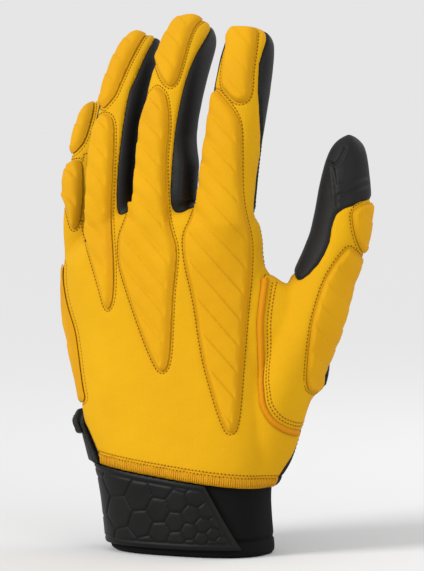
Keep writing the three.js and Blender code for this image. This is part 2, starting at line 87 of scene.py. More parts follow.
THUMB_REACH = 58.0
THUMB_FORWARD = 33.0
THUMB_HEIGHT = 174.0
THUMB_BREADTH = 23.4
THUMB_ROLL = math.radians(68)
THUMB_SHAPE = np.array([
    [0.443, 0.091, 0.185, 0.83, 1.08], [0.513, 0.182, 0.252, 1.08, 1.17],
    [0.588, 0.273, 0.369, 1.19, 1.21], [0.694, 0.394, 0.472, 1.17, 1.25],
    [0.796, 0.515, 0.565, 1.13, 1.21], [0.882, 0.652, 0.663, 1.01, 1.05],
    [0.965, 0.77, 0.76, 0.98, 1.0],
    [0.983, 0.848, 0.838, 0.96, 0.94], [0.983, 0.909, 0.895, 0.87, 0.83],
    [0.99, 0.955, 0.953, 0.68, 0.67], [0.992, 0.979, 0.982, 0.47, 0.46],
    [0.989, 0.988, 1, 0.12, 0.12],
])
HAND_SHAPE = np.array([
    [0, 0.005, 0.374, 0, 0.5, 0], [0.15, -0.017, 0.38, 0, 0.49, 0.1],
    [0.25, -0.033, 0.402, 0, 0.48, 0.2], [0.357, -0.063, 0.433, 0.02, 0.46, 0.4],
    [0.464, -0.094, 0.447, 0.03, 0.43, 0.6], [0.62, -0.145, 0.48, 0.04, 0.38, 0.9],
    [0.75, -0.176, 0.5, 0.03, 0.35, 1], [0.843, -0.184, 0.491, 0.02, 0.33, 1],
    [0.886, -0.157, 0.455, 0.015, 0.32, 1], [0.929, -0.124, 0.421, 0.01, 0.3, 1],
    [0.98, -0.11, 0.395, 0.01, 0.25, 1], [1.008, -0.104, 0.34, 0.01, 0.2, 1],
    [1.03, -0.106, 0.227, 0.01, 0.12, 1],
])
WEB_SHAPE = np.array([
    [0.1, 0.04, 0.607, 0.23, 0.24], [0.242, 0.08, 0.614, 0.257, 0.22],
    [0.39, 0.18, 0.6, 0.203, 0.17], [0.53, 0.36, 0.63, 0.143, 0.18],
])


# Curves and rays
MEAN_REACH = 4
FAR = 1e9


def smooth_curve(x, xs, ys):
    """Monotone cubic through the points xs, ys at the places x."""
    xs, ys = np.asarray(xs, float), np.asarray(ys, float)
    step = np.diff(xs)
    slope = np.diff(ys) / step
    inner = np.where(slope[:-1] * slope[1:] > 0, 1.0, 0.0)
    with np.errstate(divide="ignore", invalid="ignore"):
        mean = 2 / (1 / slope[:-1] + 1 / slope[1:])
    tangent = np.concatenate([[slope[0]], np.where(inner > 0, mean, 0.0), [slope[-1]]])
    x = np.clip(x, xs[0], xs[-1])
    i = np.clip(np.searchsorted(xs, x, side="right") - 1, 0, len(xs) - 2)
    t = (x - xs[i]) / step[i]
    return (
        ys[i] * (2 * t**3 - 3 * t**2 + 1) + tangent[i] * step[i] * (t**3 - 2 * t**2 + t)
        + ys[i + 1] * (3 * t**2 - 2 * t**3) + tangent[i + 1] * step[i] * (t**3 - t**2)
    )


def unit(v):
    return v / np.linalg.norm(v, axis=-1, keepdims=True)


def finger_ray(f, count=110):
    shares = np.linspace(-ROOT_TUCK / f["length"], 1, count)
    bend = np.radians(np.interp(shares, JOINT_SHARES, f["bends"]))
    fan = math.radians(f["fan"])
    along = np.stack([math.sin(fan) * np.cos(bend), np.sin(bend), math.cos(fan) * np.cos(bend)], 1)
    side = np.broadcast_to([math.cos(fan), 0.0, -math.sin(fan)], along.shape)
    middle = (along[1:] + along[:-1]) / 2 * (np.diff(shares) * f["length"])[:, None]
    path = np.concatenate([[[0, 0, 0]], np.cumsum(middle, 0)])
    root = np.array(f["root"]) * [PALM_BREADTH, HAND_DEPTH, ROOT_HEIGHT]
    at_root = [np.interp(0, shares, path[:, k]) for k in range(3)]
    return dict(
        share=shares, centre=path - at_root + root, along=along, side=side,
        back=np.cross(side, along), arch=np.zeros(count), length=f["length"], power=FINGER_POWER,
        breadth=smooth_curve(shares, *FINGER_SHAPE[:, :2].T) * f["breadth"] / 2,
        depth=smooth_curve(shares, FINGER_SHAPE[:, 0], FINGER_SHAPE[:, 2]) * f["depth"] / 2,
    )


def running_mean(values):
    """Each value's mean with those up to MEAN_REACH places away."""
    width = 2 * MEAN_REACH + 1
    return np.convolve(np.pad(values, MEAN_REACH, "edge"), np.ones(width) / width, "valid")


def curves_of(shape, key, count):
    """Shares along a table of sections, and each of its columns at them."""
    shares = np.linspace(shape[0, key], shape[-1, key], count)
    return shares, [smooth_curve(shares, shape[:, key], column) for column in shape.T]


def thumb_ray(count=120):
    shares, curves = curves_of(THUMB_SHAPE, 2, count)
    centre = np.stack(curves[:3], 1) * [THUMB_REACH, THUMB_FORWARD, THUMB_HEIGHT]
    along = unit(np.gradient(centre, axis=0))
    along = unit(np.stack([running_mean(a) for a in along.T], 1))
    outward = np.array([math.sin(THUMB_ROLL), -math.cos(THUMB_ROLL), 0])
    back = unit(outward - along * (along @ outward)[:, None])
    return dict(
        share=shares, centre=centre, along=along, side=np.cross(along, back), back=back,
        arch=np.zeros(count), length=THUMB_HEIGHT, power=FINGER_POWER,
        breadth=curves[3] * THUMB_BREADTH / 2, depth=curves[4] * THUMB_BREADTH / 2,
    )


def hand_ray(count=120):
    shares, (_, x, breadth, y, depth, arch) = curves_of(HAND_SHAPE, 0, count)
    ones = np.ones((count, 1))
    return dict(
        share=shares, arch=arch, length=ROOT_HEIGHT, power=HAND_POWER,
        centre=np.stack([x * PALM_BREADTH, y * HAND_DEPTH, shares * ROOT_HEIGHT], 1),
        along=ones * [0, 0, 1], side=ones * [1, 0, 0], back=ones * [0, -1, 0],
        breadth=breadth * PALM_BREADTH, depth=depth * HAND_DEPTH,
    )


def web_ray(count=50):
    shares, (_, y, z, height, depth) = curves_of(WEB_SHAPE, 0, count)
    ones = np.ones((count, 1))
    return dict(
        share=shares, arch=np.zeros(count), length=PALM_BREADTH, power=FINGER_POWER,
        centre=np.stack([shares * PALM_BREADTH, y * HAND_DEPTH, z * ROOT_HEIGHT], 1),
        along=ones * [1, 0, 0], side=ones * [0, 0, 1], back=ones * [0, -1, 0],
        breadth=height * ROOT_HEIGHT, depth=depth * HAND_DEPTH,
    )


RAYS = {name: finger_ray(f) for name, f in FINGERS.items()}
RAYS["thumb"] = thumb_ray()
RAYS["hand"] = hand_ray()
RAYS["web"] = web_ray()


def rings_of(ray, angles):
    """Points of every section at the angles, which run from the back towards the side."""
    s, c = np.sin(angles), np.cos(angles)
    power = 2 / ray["power"]
    across = np.sign(s) * np.abs(s) ** power * ray["breadth"][:, None]
    up = np.sign(c) * np.abs(c) ** power * ray["depth"][:, None]
    points = (
        ray["centre"][:, None] + ray["side"][:, None] * across[..., None]
        + ray["back"][:, None] * up[..., None]
    )
    place = (points[..., 0] - ARCH_CROWN * PALM_BREADTH) / (PALM_BREADTH / 2)
    points[..., 1] += ARCH_DROP * ray["arch"][:, None] * place**2
    return points


def loft(rings):
    """Points and faces of a closed tube with a fan at each end."""
    rows, sides = rings.shape[:2]
    points = np.concatenate([rings.reshape(-1, 3), rings[:1].mean(1), rings[-1:].mean(1)])
    k = np.arange(sides)
    n = (k + 1) % sides
    i = np.arange(rows - 1)[:, None] * sides
    quads = np.stack([i + k, i + n, i + sides + n, i + sides + k], -1).reshape(-1, 4)
    last = (rows - 1) * sides
    ends = [np.stack([n, k, np.full(sides, rows * sides)], 1)]
    ends.append(np.stack([last + k, last + n, np.full(sides, rows * sides + 1)], 1))
    return points, [*quads.tolist(), *np.concatenate(ends).tolist()]


def mesh_of(name, points, faces):
    mesh = bpy.data.meshes.new(name)
    mesh.from_pydata((np.asarray(points) * MM).tolist(), [], [list(map(int, f)) for f in faces])
    mesh.validate()
    mesh.update()
    return mesh


def object_of(name, mesh):
    obj = bpy.data.objects.new(name, mesh)
    bpy.context.scene.collection.objects.link(obj)
    return obj


def evaluated_mesh(obj):
    """The mesh of an object with its modifiers applied; the object is deleted."""
    graph = bpy.context.evaluated_depsgraph_get()
    mesh = bpy.data.meshes.new_from_object(obj.evaluated_get(graph))
    old = obj.data
    bpy.data.objects.remove(obj)
    bpy.data.meshes.remove(old)
    return mesh


def arrays_of(mesh):
    """The points of a mesh, in millimetres, and its triangles."""
    mesh.calc_loop_triangles()
    points = np.empty(len(mesh.vertices) * 3)
    mesh.vertices.foreach_get("co", points)
    tris = np.empty(len(mesh.loop_triangles) * 3, np.int32)
    mesh.loop_triangles.foreach_get("vertices", tris)
    return points.reshape(-1, 3) / MM, tris.reshape(-1, 3).astype(int)


BASE_SIDES = 56
VOXEL = 1.0
BLEND_FACTOR = 0.5
BLEND_STEPS = 12


def base_surface():
    """The glove's whole outer surface: every ray's tube, merged and smoothed where they meet."""
    angles = np.linspace(0, 2 * np.pi, BASE_SIDES, endpoint=False)
    points, faces = [], []
    for ray in RAYS.values():
        ring_points, ring_faces = loft(rings_of(ray, angles))
        start = sum(len(p) for p in points)
        points.append(ring_points)
        faces += [[start + v for v in face] for face in ring_faces]
    obj = object_of("base", mesh_of("base", np.concatenate(points), faces))
    remesh = obj.modifiers.new("merge", "REMESH")
    remesh.mode = "VOXEL"
    remesh.voxel_size = VOXEL * MM
    smooth = obj.modifiers.new("blend", "SMOOTH")
    smooth.factor = BLEND_FACTOR
    smooth.iterations = BLEND_STEPS
    mesh = evaluated_mesh(obj)
    arrays = arrays_of(mesh)
    bpy.data.meshes.remove(mesh)
    return arrays


# The photograph's view, in which the outlines of the pads are drawn
VIEW_AZIMUTH = math.radians(27)
VIEW_ELEVATION = math.radians(3)
VIEW_DISTANCE = 1500.0
VIEW_CENTRE = (8.4, 110.7)
VIEW_WIDTH = 178.08
RIGHT = np.array([math.cos(VIEW_AZIMUTH), math.sin(VIEW_AZIMUTH), 0])
TOWARDS = np.array([
    math.sin(VIEW_AZIMUTH) * math.cos(VIEW_ELEVATION),
    -math.cos(VIEW_AZIMUTH) * math.cos(VIEW_ELEVATION), math.sin(VIEW_ELEVATION),
])
UPWARDS = np.cross(TOWARDS, RIGHT)
TARGET = RIGHT * VIEW_CENTRE[0] + UPWARDS * VIEW_CENTRE[1]
CAMERA = TARGET + TOWARDS * VIEW_DISTANCE


def in_view(points):
    """Places across and up in the view, in millimetres at the distance of the target."""
    ray = points - CAMERA
    scale = VIEW_DISTANCE / -(ray @ TOWARDS)
    return np.stack([ray @ RIGHT * scale + VIEW_CENTRE[0], ray @ UPWARDS * scale + VIEW_CENTRE[1]], 1)


# Fields: signed distances in millimetres, negative inside
BATCH = 20000


def ray_places(ray, points):
    """Share along a ray, angle round it in degrees, its mean radius and how far out a point is."""
    share, angle, radius, out = (np.empty(len(points)) for _ in range(4))
    for start in range(0, len(points), BATCH):
        part = slice(start, start + BATCH)
        p = points[part]
        near = ((p[:, None] - ray["centre"][None]) ** 2).sum(2).argmin(1)
        v = p - ray["centre"][near]
        share[part] = ray["share"][near] + (v * ray["along"][near]).sum(1) / ray["length"]
        across = (v * ray["side"][near]).sum(1) / ray["breadth"][near]
        up = (v * ray["back"][near]).sum(1) / ray["depth"][near]
        s = np.sign(across) * np.abs(across) ** (ray["power"] / 2)
        c = np.sign(up) * np.abs(up) ** (ray["power"] / 2)
        angle[part] = np.degrees(np.arctan2(s, c))
        radius[part] = (ray["breadth"][near] + ray["depth"][near]) / 2
        out[part] = np.hypot(s, c) ** (2 / ray["power"])
    return share, angle, radius, out


def smooth_min(a, b, size):
    h = np.clip(0.5 + 0.5 * (b - a) / size, 0, 1)
    return b + (a - b) * h - size * h * (1 - h)


def smooth_max(a, b, size):
    return -smooth_min(-a, -b, size)


def rounded(outline, turns=2):
    """A closed outline with its corners cut twice, so that it has no sharp point."""
    outline = np.asarray(outline, float)
    for _ in range(turns):
        after = np.roll(outline, -1, 0)
        outline = np.stack([outline * 0.75 + after * 0.25, outline * 0.25 + after * 0.75], 1).reshape(-1, 2)
    return outline


def outline_field(places, outline, slopes=None):
    """Distance to a closed outline, negative inside, and the least distance over the slopes."""
    inside = np.zeros(len(places), bool)
    least = np.full(len(places), FAR)
    eased = np.full(len(places), FAR)
    for k, (a, b) in enumerate(zip(outline, np.roll(outline, -1, 0))):
        edge = b - a
        v = places - a
        t = np.clip(v @ edge / (edge @ edge), 0, 1)
        distance = np.linalg.norm(v - t[:, None] * edge, axis=1)
        least = np.minimum(least, distance)
        if slopes is not None:
            eased = np.minimum(eased, distance / slopes[k])
        if a[1] != b[1]:
            crosses = (a[1] > places[:, 1]) != (b[1] > places[:, 1])
            inside ^= crosses & (places[:, 0] < a[0] + edge[0] * (places[:, 1] - a[1]) / edge[1])
    return np.where(inside, -least, least), eased


SEAM_SHAPE = np.array([
    [0.1, -0.33, -0.38, 0.04, 0.02, 0.02], [0.257, -0.33, -0.38, 0.04, 0.08, 0.14],
    [0.307, -0.37, -0.32, 0.04, 0.18, 0.34], [0.357, -0.43, -0.24, 0.04, 0.2, 0.42],
    [0.414, -0.5, 0.1, 0.04, 0.24, 0.48], [0.464, -0.52, 0.28, 0.04, 0.24, 0.5],
    [0.643, -0.52, 0.3, 0.04, 0.24, 0.54], [0.8, -0.52, 0.3, 0.04, 0.32, 0.56],
    [0.975, -0.48, 0.2, 0.04, 0.34, 0.3],
])
EDGE_STEP, MIDDLE_PLACE, WEB_PLACE, THUMB_PLACE = 0.08, 0.2, 0.38, 0.62


def seam_depth(x, z):
    """Depth of the seam between the back and the palm at the places x, z."""
    height = z / ROOT_HEIGHT
    edge, *depths = (np.interp(height, SEAM_SHAPE[:, 0], SEAM_SHAPE[:, k]) for k in range(1, 6))
    edge_y, middle_y, web_y, thumb_y = (d * HAND_DEPTH for d in depths)
    places = [edge, edge + EDGE_STEP, MIDDLE_PLACE, WEB_PLACE, THUMB_PLACE]
    levels = [edge_y, middle_y, middle_y, web_y, thumb_y]
    y = edge_y.copy()
    for k in range(4):
        low, high = places[k] * PALM_BREADTH, places[k + 1] * PALM_BREADTH
        t = np.clip((x - low) / (high - low), 0, 1)
        y = np.where(x > low, levels[k] + (levels[k + 1] - levels[k]) * t, y)
    return y


THUMB_SEAM = np.array([
    [0.323, 0.85], [0.335, 0.8], [0.336, 0.76], [0.331, 0.69], [0.335, 0.62], [0.339, 0.53],
    [0.353, 0.483], [0.363, 0.441], [0.401, 0.397], [0.438, 0.372], [0.5, 0.335],
]) * [PALM_BREADTH, ROOT_HEIGHT]

# Where the knit ends on each finger's thumb side: share of the length, angle in degrees
KNIT_EDGES = {
    "index": [[-0.2, 100], [0.24, 104], [0.337, 112], [0.424, 99], [0.527, 83], [0.651, 63],
              [0.793, 54], [0.857, 58], [0.96, 70]],
    "middle": [[0, 48], [0.1, 41], [0.25, 40], [0.38, 40], [0.5, 43], [0.617, 45], [0.75, 52],
               [0.854, 62], [0.96, 72]],
    "ring": [[0, 34], [0.1, 31], [0.37, 33], [0.523, 31], [0.6, 29], [0.685, 36], [0.825, 40],
             [0.969, 46]],
    "pinky": [[0, 38], [0.5, 38], [1, 44]],
}
KNIT_STARTS = {"index": -55, "middle": -55, "ring": -52, "pinky": -105}
THUMB_KNIT_START = [[0.6, -112], [0.628, -92], [0.651, -77], [0.679, -65], [0.703, -61],
                    [0.732, -60], [0.76, -64], [0.784, -62], [0.802, -57]]
THUMB_KNIT_TOP = [[-70, 0.79], [-56, 0.802], [-41, 0.815], [-19, 0.825], [-1, 0.838], [33, 0.85],
                  [63, 0.852]]
THUMB_KNIT_END = 63
THUMB_BACK_BOTTOM = 0.609
WRAP_PLACES = [40, 46]
WRAP_HEIGHTS = [116.5, 112]
CROTCH_PLACES = [-50, -40, -33, -30.5, -28, -26, -24.6, -20, -8, -3, -0.5, 2.2, 4.6, 6.8, 12, 16, 40]
CROTCH_HEIGHTS = [
    134, 138, 138, 138.6, 141, 144, 150, 152, 141.4, 141.2, 142.2, 144.2, 148, 154, 154, 142.6, 140,
]
TIP_CAP = 3.2
TIP_SHIFT = 2.8
TIP_STITCH = 6.5
TIP_ROUND = 2.0
CROTCH_ROUND = 5.0
PINKY_ROUND = 2.0
SLOT_BOTTOM = 128.5
SLOT_TOP = 150
SLOT_PLACE = -50.3
SLOT_HALF = 1.3
SLOT_FLAT = 0.2
SEAM_GAP = 0.1
SEAM_BLUR = (1.5, 2)
FINGER_OUT = 1.3
THUMB_OUT = 1.35
THUMB_FROM = 30
WRAP_FROM = 34.2
SIDE_HEIGHTS = [47, 52, 62, 68, 80]
SIDE_LEANS = [0.6, 0.62, 0.75, 0.95, 1]
OFF = 50.0


def wave_noise(points, scale, seed):
    """A smooth value between about -1 and 1 at each point, from a few fixed waves."""
    rng = np.random.default_rng(seed)
    total = np.zeros(len(points))
    for _ in range(9):
        direction = unit(rng.normal(size=3))
        rate = 2 * np.pi / (scale * rng.uniform(0.7, 1.6))
        total += np.sin(points @ direction * rate + rng.uniform(0, 2 * np.pi))
    return total / 4


def finger_fields(points, gold):
    """Field of the knit with the fingers' backs, distance to the tips and places round each."""
    tips = np.full(len(points), OFF)
    places = {}
    for name, finger in FINGERS.items():
        ray = RAYS[name]
        share, angle, radius, out = ray_places(ray, points)
        end = np.interp(share, *np.array(KNIT_EDGES[name], float).T)
        arc = np.radians(1) * radius
        side = np.maximum((KNIT_STARTS[name] - angle) * arc, (angle - end) * arc)
        low = (-0.5 * ROOT_TUCK / finger["length"] - share) * finger["length"]
        own = np.where(out > FINGER_OUT, OFF, np.maximum(side, low))
        turn = np.radians((KNIT_STARTS[name] + KNIT_EDGES[name][-1][1]) / 2)
        lean = np.cos(turn) * ray["back"][-1] + np.sin(turn) * ray["side"][-1]
        tip = np.linalg.norm(points - ray["centre"][-1] - TIP_SHIFT * lean, axis=1)
        tips = np.minimum(tips, tip)
        own = smooth_min(own, tip - TIP_CAP, TIP_ROUND)
        gold = smooth_min(gold, own, PINKY_ROUND if name == "pinky" else CROTCH_ROUND)
        places[name] = angle, arc, out
    return gold, tips, places


def slot_field(x, z):
    """Field of the narrow slot between the little and ring fingers."""
    beside = np.maximum(np.abs(x - SLOT_PLACE) - SLOT_FLAT, 0)
    slot = np.hypot(beside, np.minimum(z - SLOT_BOTTOM - SLOT_HALF, 0))
    return np.maximum(slot - SLOT_HALF + SLOT_FLAT, z - SLOT_TOP)


def thumb_back_field(points):
    """Field of the knit on the back of the thumb."""
    share, angle, radius, out = ray_places(RAYS["thumb"], points)
    arc = np.radians(1) * radius
    start = np.interp(share, *np.array(THUMB_KNIT_START, float).T)
    stop = np.interp(angle, *np.array(THUMB_KNIT_TOP, float).T)
    return np.maximum.reduce([
        (start - angle) * arc, (angle - THUMB_KNIT_END) * arc, (share - stop) * THUMB_HEIGHT,
        (THUMB_BACK_BOTTOM - share) * THUMB_HEIGHT,
        np.where((out > THUMB_OUT) | (points[:, 0] < THUMB_FROM), OFF, -OFF),
    ])


def fork_field(points, places, left, right, crotch):
    """Field of the strip between two fingers: their near sides and what lies between them."""
    x, y, z = points.T
    wings = []
    for name, sign in ((left, 1), (right, -1)):
        angle, arc, out = places[name]
        wings.append(np.maximum.reduce([
            (sign * angle - FORK_ANGLE) * arc, -sign * angle * arc,
            np.where(out > FINGER_OUT, OFF, -OFF), crotch - FORK_DROP - z,
        ]))
    wing = np.minimum(*wings)
    low, high = (RAYS[name]["centre"][FORK_SECTION, 0] for name in (left, right))
    front = y < FORK_FRONT + FORK_LEAN * (z - ROOT_HEIGHT)
    between = smooth_max(wing, np.maximum(low - x, x - high), 1.0)
    return np.maximum(between, np.where(front, -OFF, wing))


def region_fields(points):
    """The fields of all panels, of the hem and of what the stitches keep clear of."""
    x, y, z = points.T
    blur_x, blur_z = ((-step, 0, step) for step in SEAM_BLUR)
    seam = sum(seam_depth(x + dx, z + dz) for dx in blur_x for dz in blur_z) / 9
    top = z - np.interp(x, CROTCH_PLACES, CROTCH_HEIGHTS)
    hand_back = smooth_max(y - seam, top, 1.0)
    gold, tips, places = finger_fields(points, hand_back)
    gold = np.maximum(gold, -slot_field(x, z))
    order = np.argsort(THUMB_SEAM[:, 1])
    seam_x = np.interp(z, THUMB_SEAM[order, 1], THUMB_SEAM[order, 0])
    seam_side = (seam_x - x) * np.interp(z, SIDE_HEIGHTS, SIDE_LEANS)
    wrap_bottom = np.interp(x, WRAP_PLACES, WRAP_HEIGHTS)
    low_back = smooth_max(hand_back, np.maximum(seam_side, z - wrap_bottom), 0.6)
    thumb_gold = smooth_min(thumb_back_field(points), low_back, 3.0)
    wrap = np.maximum(WRAP_FROM - x, wrap_bottom - z)
    fields = {
        "hem": (HEM_HEIGHT - x * math.tan(HEM_TILT) - z) * math.cos(HEM_TILT),
        "tips": tips, "gold": gold, "seam_side": seam_side, "thumb_panel": thumb_gold,
        "back_panel": np.maximum.reduce([gold, -thumb_gold, -wrap]),
        "thumb_wrap": np.maximum(wrap, -thumb_gold),
    }
    taken = np.minimum.reduce([fields[name] for name in ("back_panel", "thumb_panel", "thumb_wrap")])
    for name, left, right, crotch in FORKS:
        field = fork_field(points, places, left, right, crotch)
        fields[name] = np.maximum(field, -taken)
        taken = np.minimum(taken, field)
    fields["palm_panel"] = -taken
    return fields


FORK_ANGLE = 125
FORK_DROP = SHELL_WALL + 2
FORK_SECTION = 12
FORK_FRONT = 14
FORK_LEAN = 0.35
FORKS = [
    ("fourchette_ring_middle", "ring", "middle", 141.0),
    ("fourchette_middle_index", "middle", "index", 141.0),
    ("fourchette_pinky_ring", "pinky", "ring", 130.0),
]
FORK_BULGE_BOTTOM = 141.5
FORK_BULGE_TOP = 175
FORK_BULGE_MIDDLE = 1.5
FORK_BULGES = (2.6, 1.2)
FORK_EASES = (5, 16, 4)
KNIT_PANELS = ("back_panel", "thumb_panel")
PANELS = [*KNIT_PANELS, "palm_panel", "thumb_wrap", *[fork[0] for fork in FORKS]]


# Cutting and thickening of surfaces
def compacted(tris, data):
    """The triangles with only the rows of data that they use, and each old row's new place."""
    used = np.unique(tris)
    index = np.full(len(data), -1)
    index[used] = np.arange(len(used))
    return index[tris], data[used], index


def edges_of(tris):
    return np.concatenate([tris[:, [0, 1]], tris[:, [1, 2]], tris[:, [2, 0]]])


def rolled(rows, turn):
    """Triangles that start at another corner."""
    return rows[np.arange(len(rows))[:, None], (turn[:, None] + [0, 1, 2]) % 3]


def clip(tris, field, data):
    """The part of a triangle surface where the field is negative, cut along its zero line."""
    inside = field[tris] < 0
    count = inside.sum(1)
    one = rolled(tris[count == 1], inside[count == 1].argmax(1))
    two = rolled(tris[count == 2], (~inside[count == 2]).argmax(1))
    pairs_a = np.concatenate([one[:, 0], one[:, 0], two[:, 0], two[:, 0]])
    pairs_b = np.concatenate([one[:, 1], one[:, 2], two[:, 1], two[:, 2]])
    keys = np.minimum(pairs_a, pairs_b) * len(field) + np.maximum(pairs_a, pairs_b)
    keys, back = np.unique(keys, return_inverse=True)
    low, high = keys // len(field), keys % len(field)
    t = (field[low] / (field[low] - field[high]))[:, None]
    values = data[low] * (1 - t) + data[high] * t
    back = back.reshape(-1) + len(field)
    n1, n2 = len(one), len(two)
    e1, e2, e3, e4 = back[:n1], back[n1:2 * n1], back[2 * n1:2 * n1 + n2], back[2 * n1 + n2:]
    result = np.concatenate([
        tris[count == 3], np.stack([one[:, 0], e1, e2], 1),
        np.stack([e3, two[:, 1], two[:, 2]], 1), np.stack([e3, two[:, 2], e4], 1),
    ])
    segments = np.concatenate([np.stack([e1, e2], 1), np.stack([e4, e3], 1)])
    tris, data, index = compacted(result, np.concatenate([data, values]))
    seam = index[segments]
    return tris, data, seam[(seam >= 0).all(1)]


def largest(tris, data):
    """The largest connected part of a surface."""
    label = np.arange(len(data))
    while True:
        low = label[tris].min(1)
        new = label.copy()
        np.minimum.at(new, tris.ravel(), np.repeat(low, 3))
        new = new[new]
        if (new == label).all():
            break
        label = new
    names, counts = np.unique(label[tris[:, 0]], return_counts=True)
    return compacted(tris[label[tris[:, 0]] == names[counts.argmax()]], data)[:2]


def subdivided(tris, data):
    """Every triangle in four."""
    edges = np.sort(edges_of(tris), axis=1)
    keys, back = np.unique(edges[:, 0] * len(data) + edges[:, 1], return_inverse=True)
    middle = (data[keys // len(data)] + data[keys % len(data)]) / 2
    back = back.reshape(3, -1) + len(data)
    a, b, c = tris.T
    ab, bc, ca = back
    parts = [[a, ab, ca], [ab, b, bc], [ca, bc, c], [ab, bc, ca]]
    return np.concatenate([np.stack(p, 1) for p in parts]), np.concatenate([data, middle])


def part_of(tris, data, near):
    """The triangles with a point that is near, and the data of their points."""
    return compacted(tris[near[tris].any(1)], data)[:2]


def rim_edges(tris):
    """Directed edges that only one triangle has."""
    edges = edges_of(tris)
    size = tris.max() + 1
    keys = np.sort(edges, axis=1) @ [size, 1]
    _, first, counts = np.unique(keys, return_index=True, return_counts=True)
    return edges[first[counts == 1]]


def thick_mesh(name, tris, outer, inner, tone_and_painted_shade):
    """A closed solid between two surfaces over the same triangles, with a wall round its rim."""
    count = len(outer)
    rim = rim_edges(tris)
    middle_ids, middle_of = np.unique(rim, return_inverse=True)
    middle_of = middle_of.reshape(rim.shape) + 2 * count
    middle = (outer[middle_ids] + inner[middle_ids]) / 2
    a, b = rim.T
    m, n = middle_of.T
    walls = [[b, a, m], [b, m, n], [n, m, a + count], [n, a + count, b + count]]
    faces = np.concatenate([tris, tris[:, ::-1] + count, *[np.stack(w, 1) for w in walls]])
    points = np.concatenate([outer, inner, middle])
    tones_and_painted_shade = np.concatenate([tone_and_painted_shade, tone_and_painted_shade, tone_and_painted_shade[middle_ids]])
    return fast_mesh(name, points, faces, tones_and_painted_shade)


def fast_mesh(name, points, tris, tone_and_painted_shade=None):
    mesh = bpy.data.meshes.new(name)
    mesh.vertices.add(len(points))
    mesh.vertices.foreach_set("co", (np.asarray(points) * MM).ravel())
    mesh.loops.add(3 * len(tris))
    mesh.loops.foreach_set("vertex_index", np.asarray(tris, np.int32).ravel())
    mesh.polygons.add(len(tris))
    mesh.polygons.foreach_set("loop_start", np.arange(0, 3 * len(tris), 3, dtype=np.int32))
    mesh.polygons.foreach_set("use_smooth", np.ones(len(tris), bool))
    mesh.update(calc_edges=True)
    if tone_and_painted_shade is not None:
        layer = mesh.attributes.new("tone_and_painted_shade", "FLOAT", "POINT")
        layer.data.foreach_set("value", np.asarray(tone_and_painted_shade, np.float32))
    return mesh


def bump_of(t):
    """A smooth step from 0 to 1."""
    t = np.clip(t, 0, 1)
    return t * t * (3 - 2 * t)


def path_distance(places, path):
    least = np.full(len(places), FAR)
    for a, b in zip(path[:-1], path[1:]):
        edge = b - a
        t = np.clip((places - a) @ edge / (edge @ edge), 0, 1)
        least = np.minimum(least, np.linalg.norm(places - a - t[:, None] * edge, axis=1))
    return least


def smooth_path(path, turns=2):
    for _ in range(turns):
        low, high = path[:-1] * 0.75 + path[1:] * 0.25, path[:-1] * 0.25 + path[1:] * 0.75
        path = np.concatenate([path[:1], np.stack([low, high], 1).reshape(-1, 2), path[-1:]])
    return path


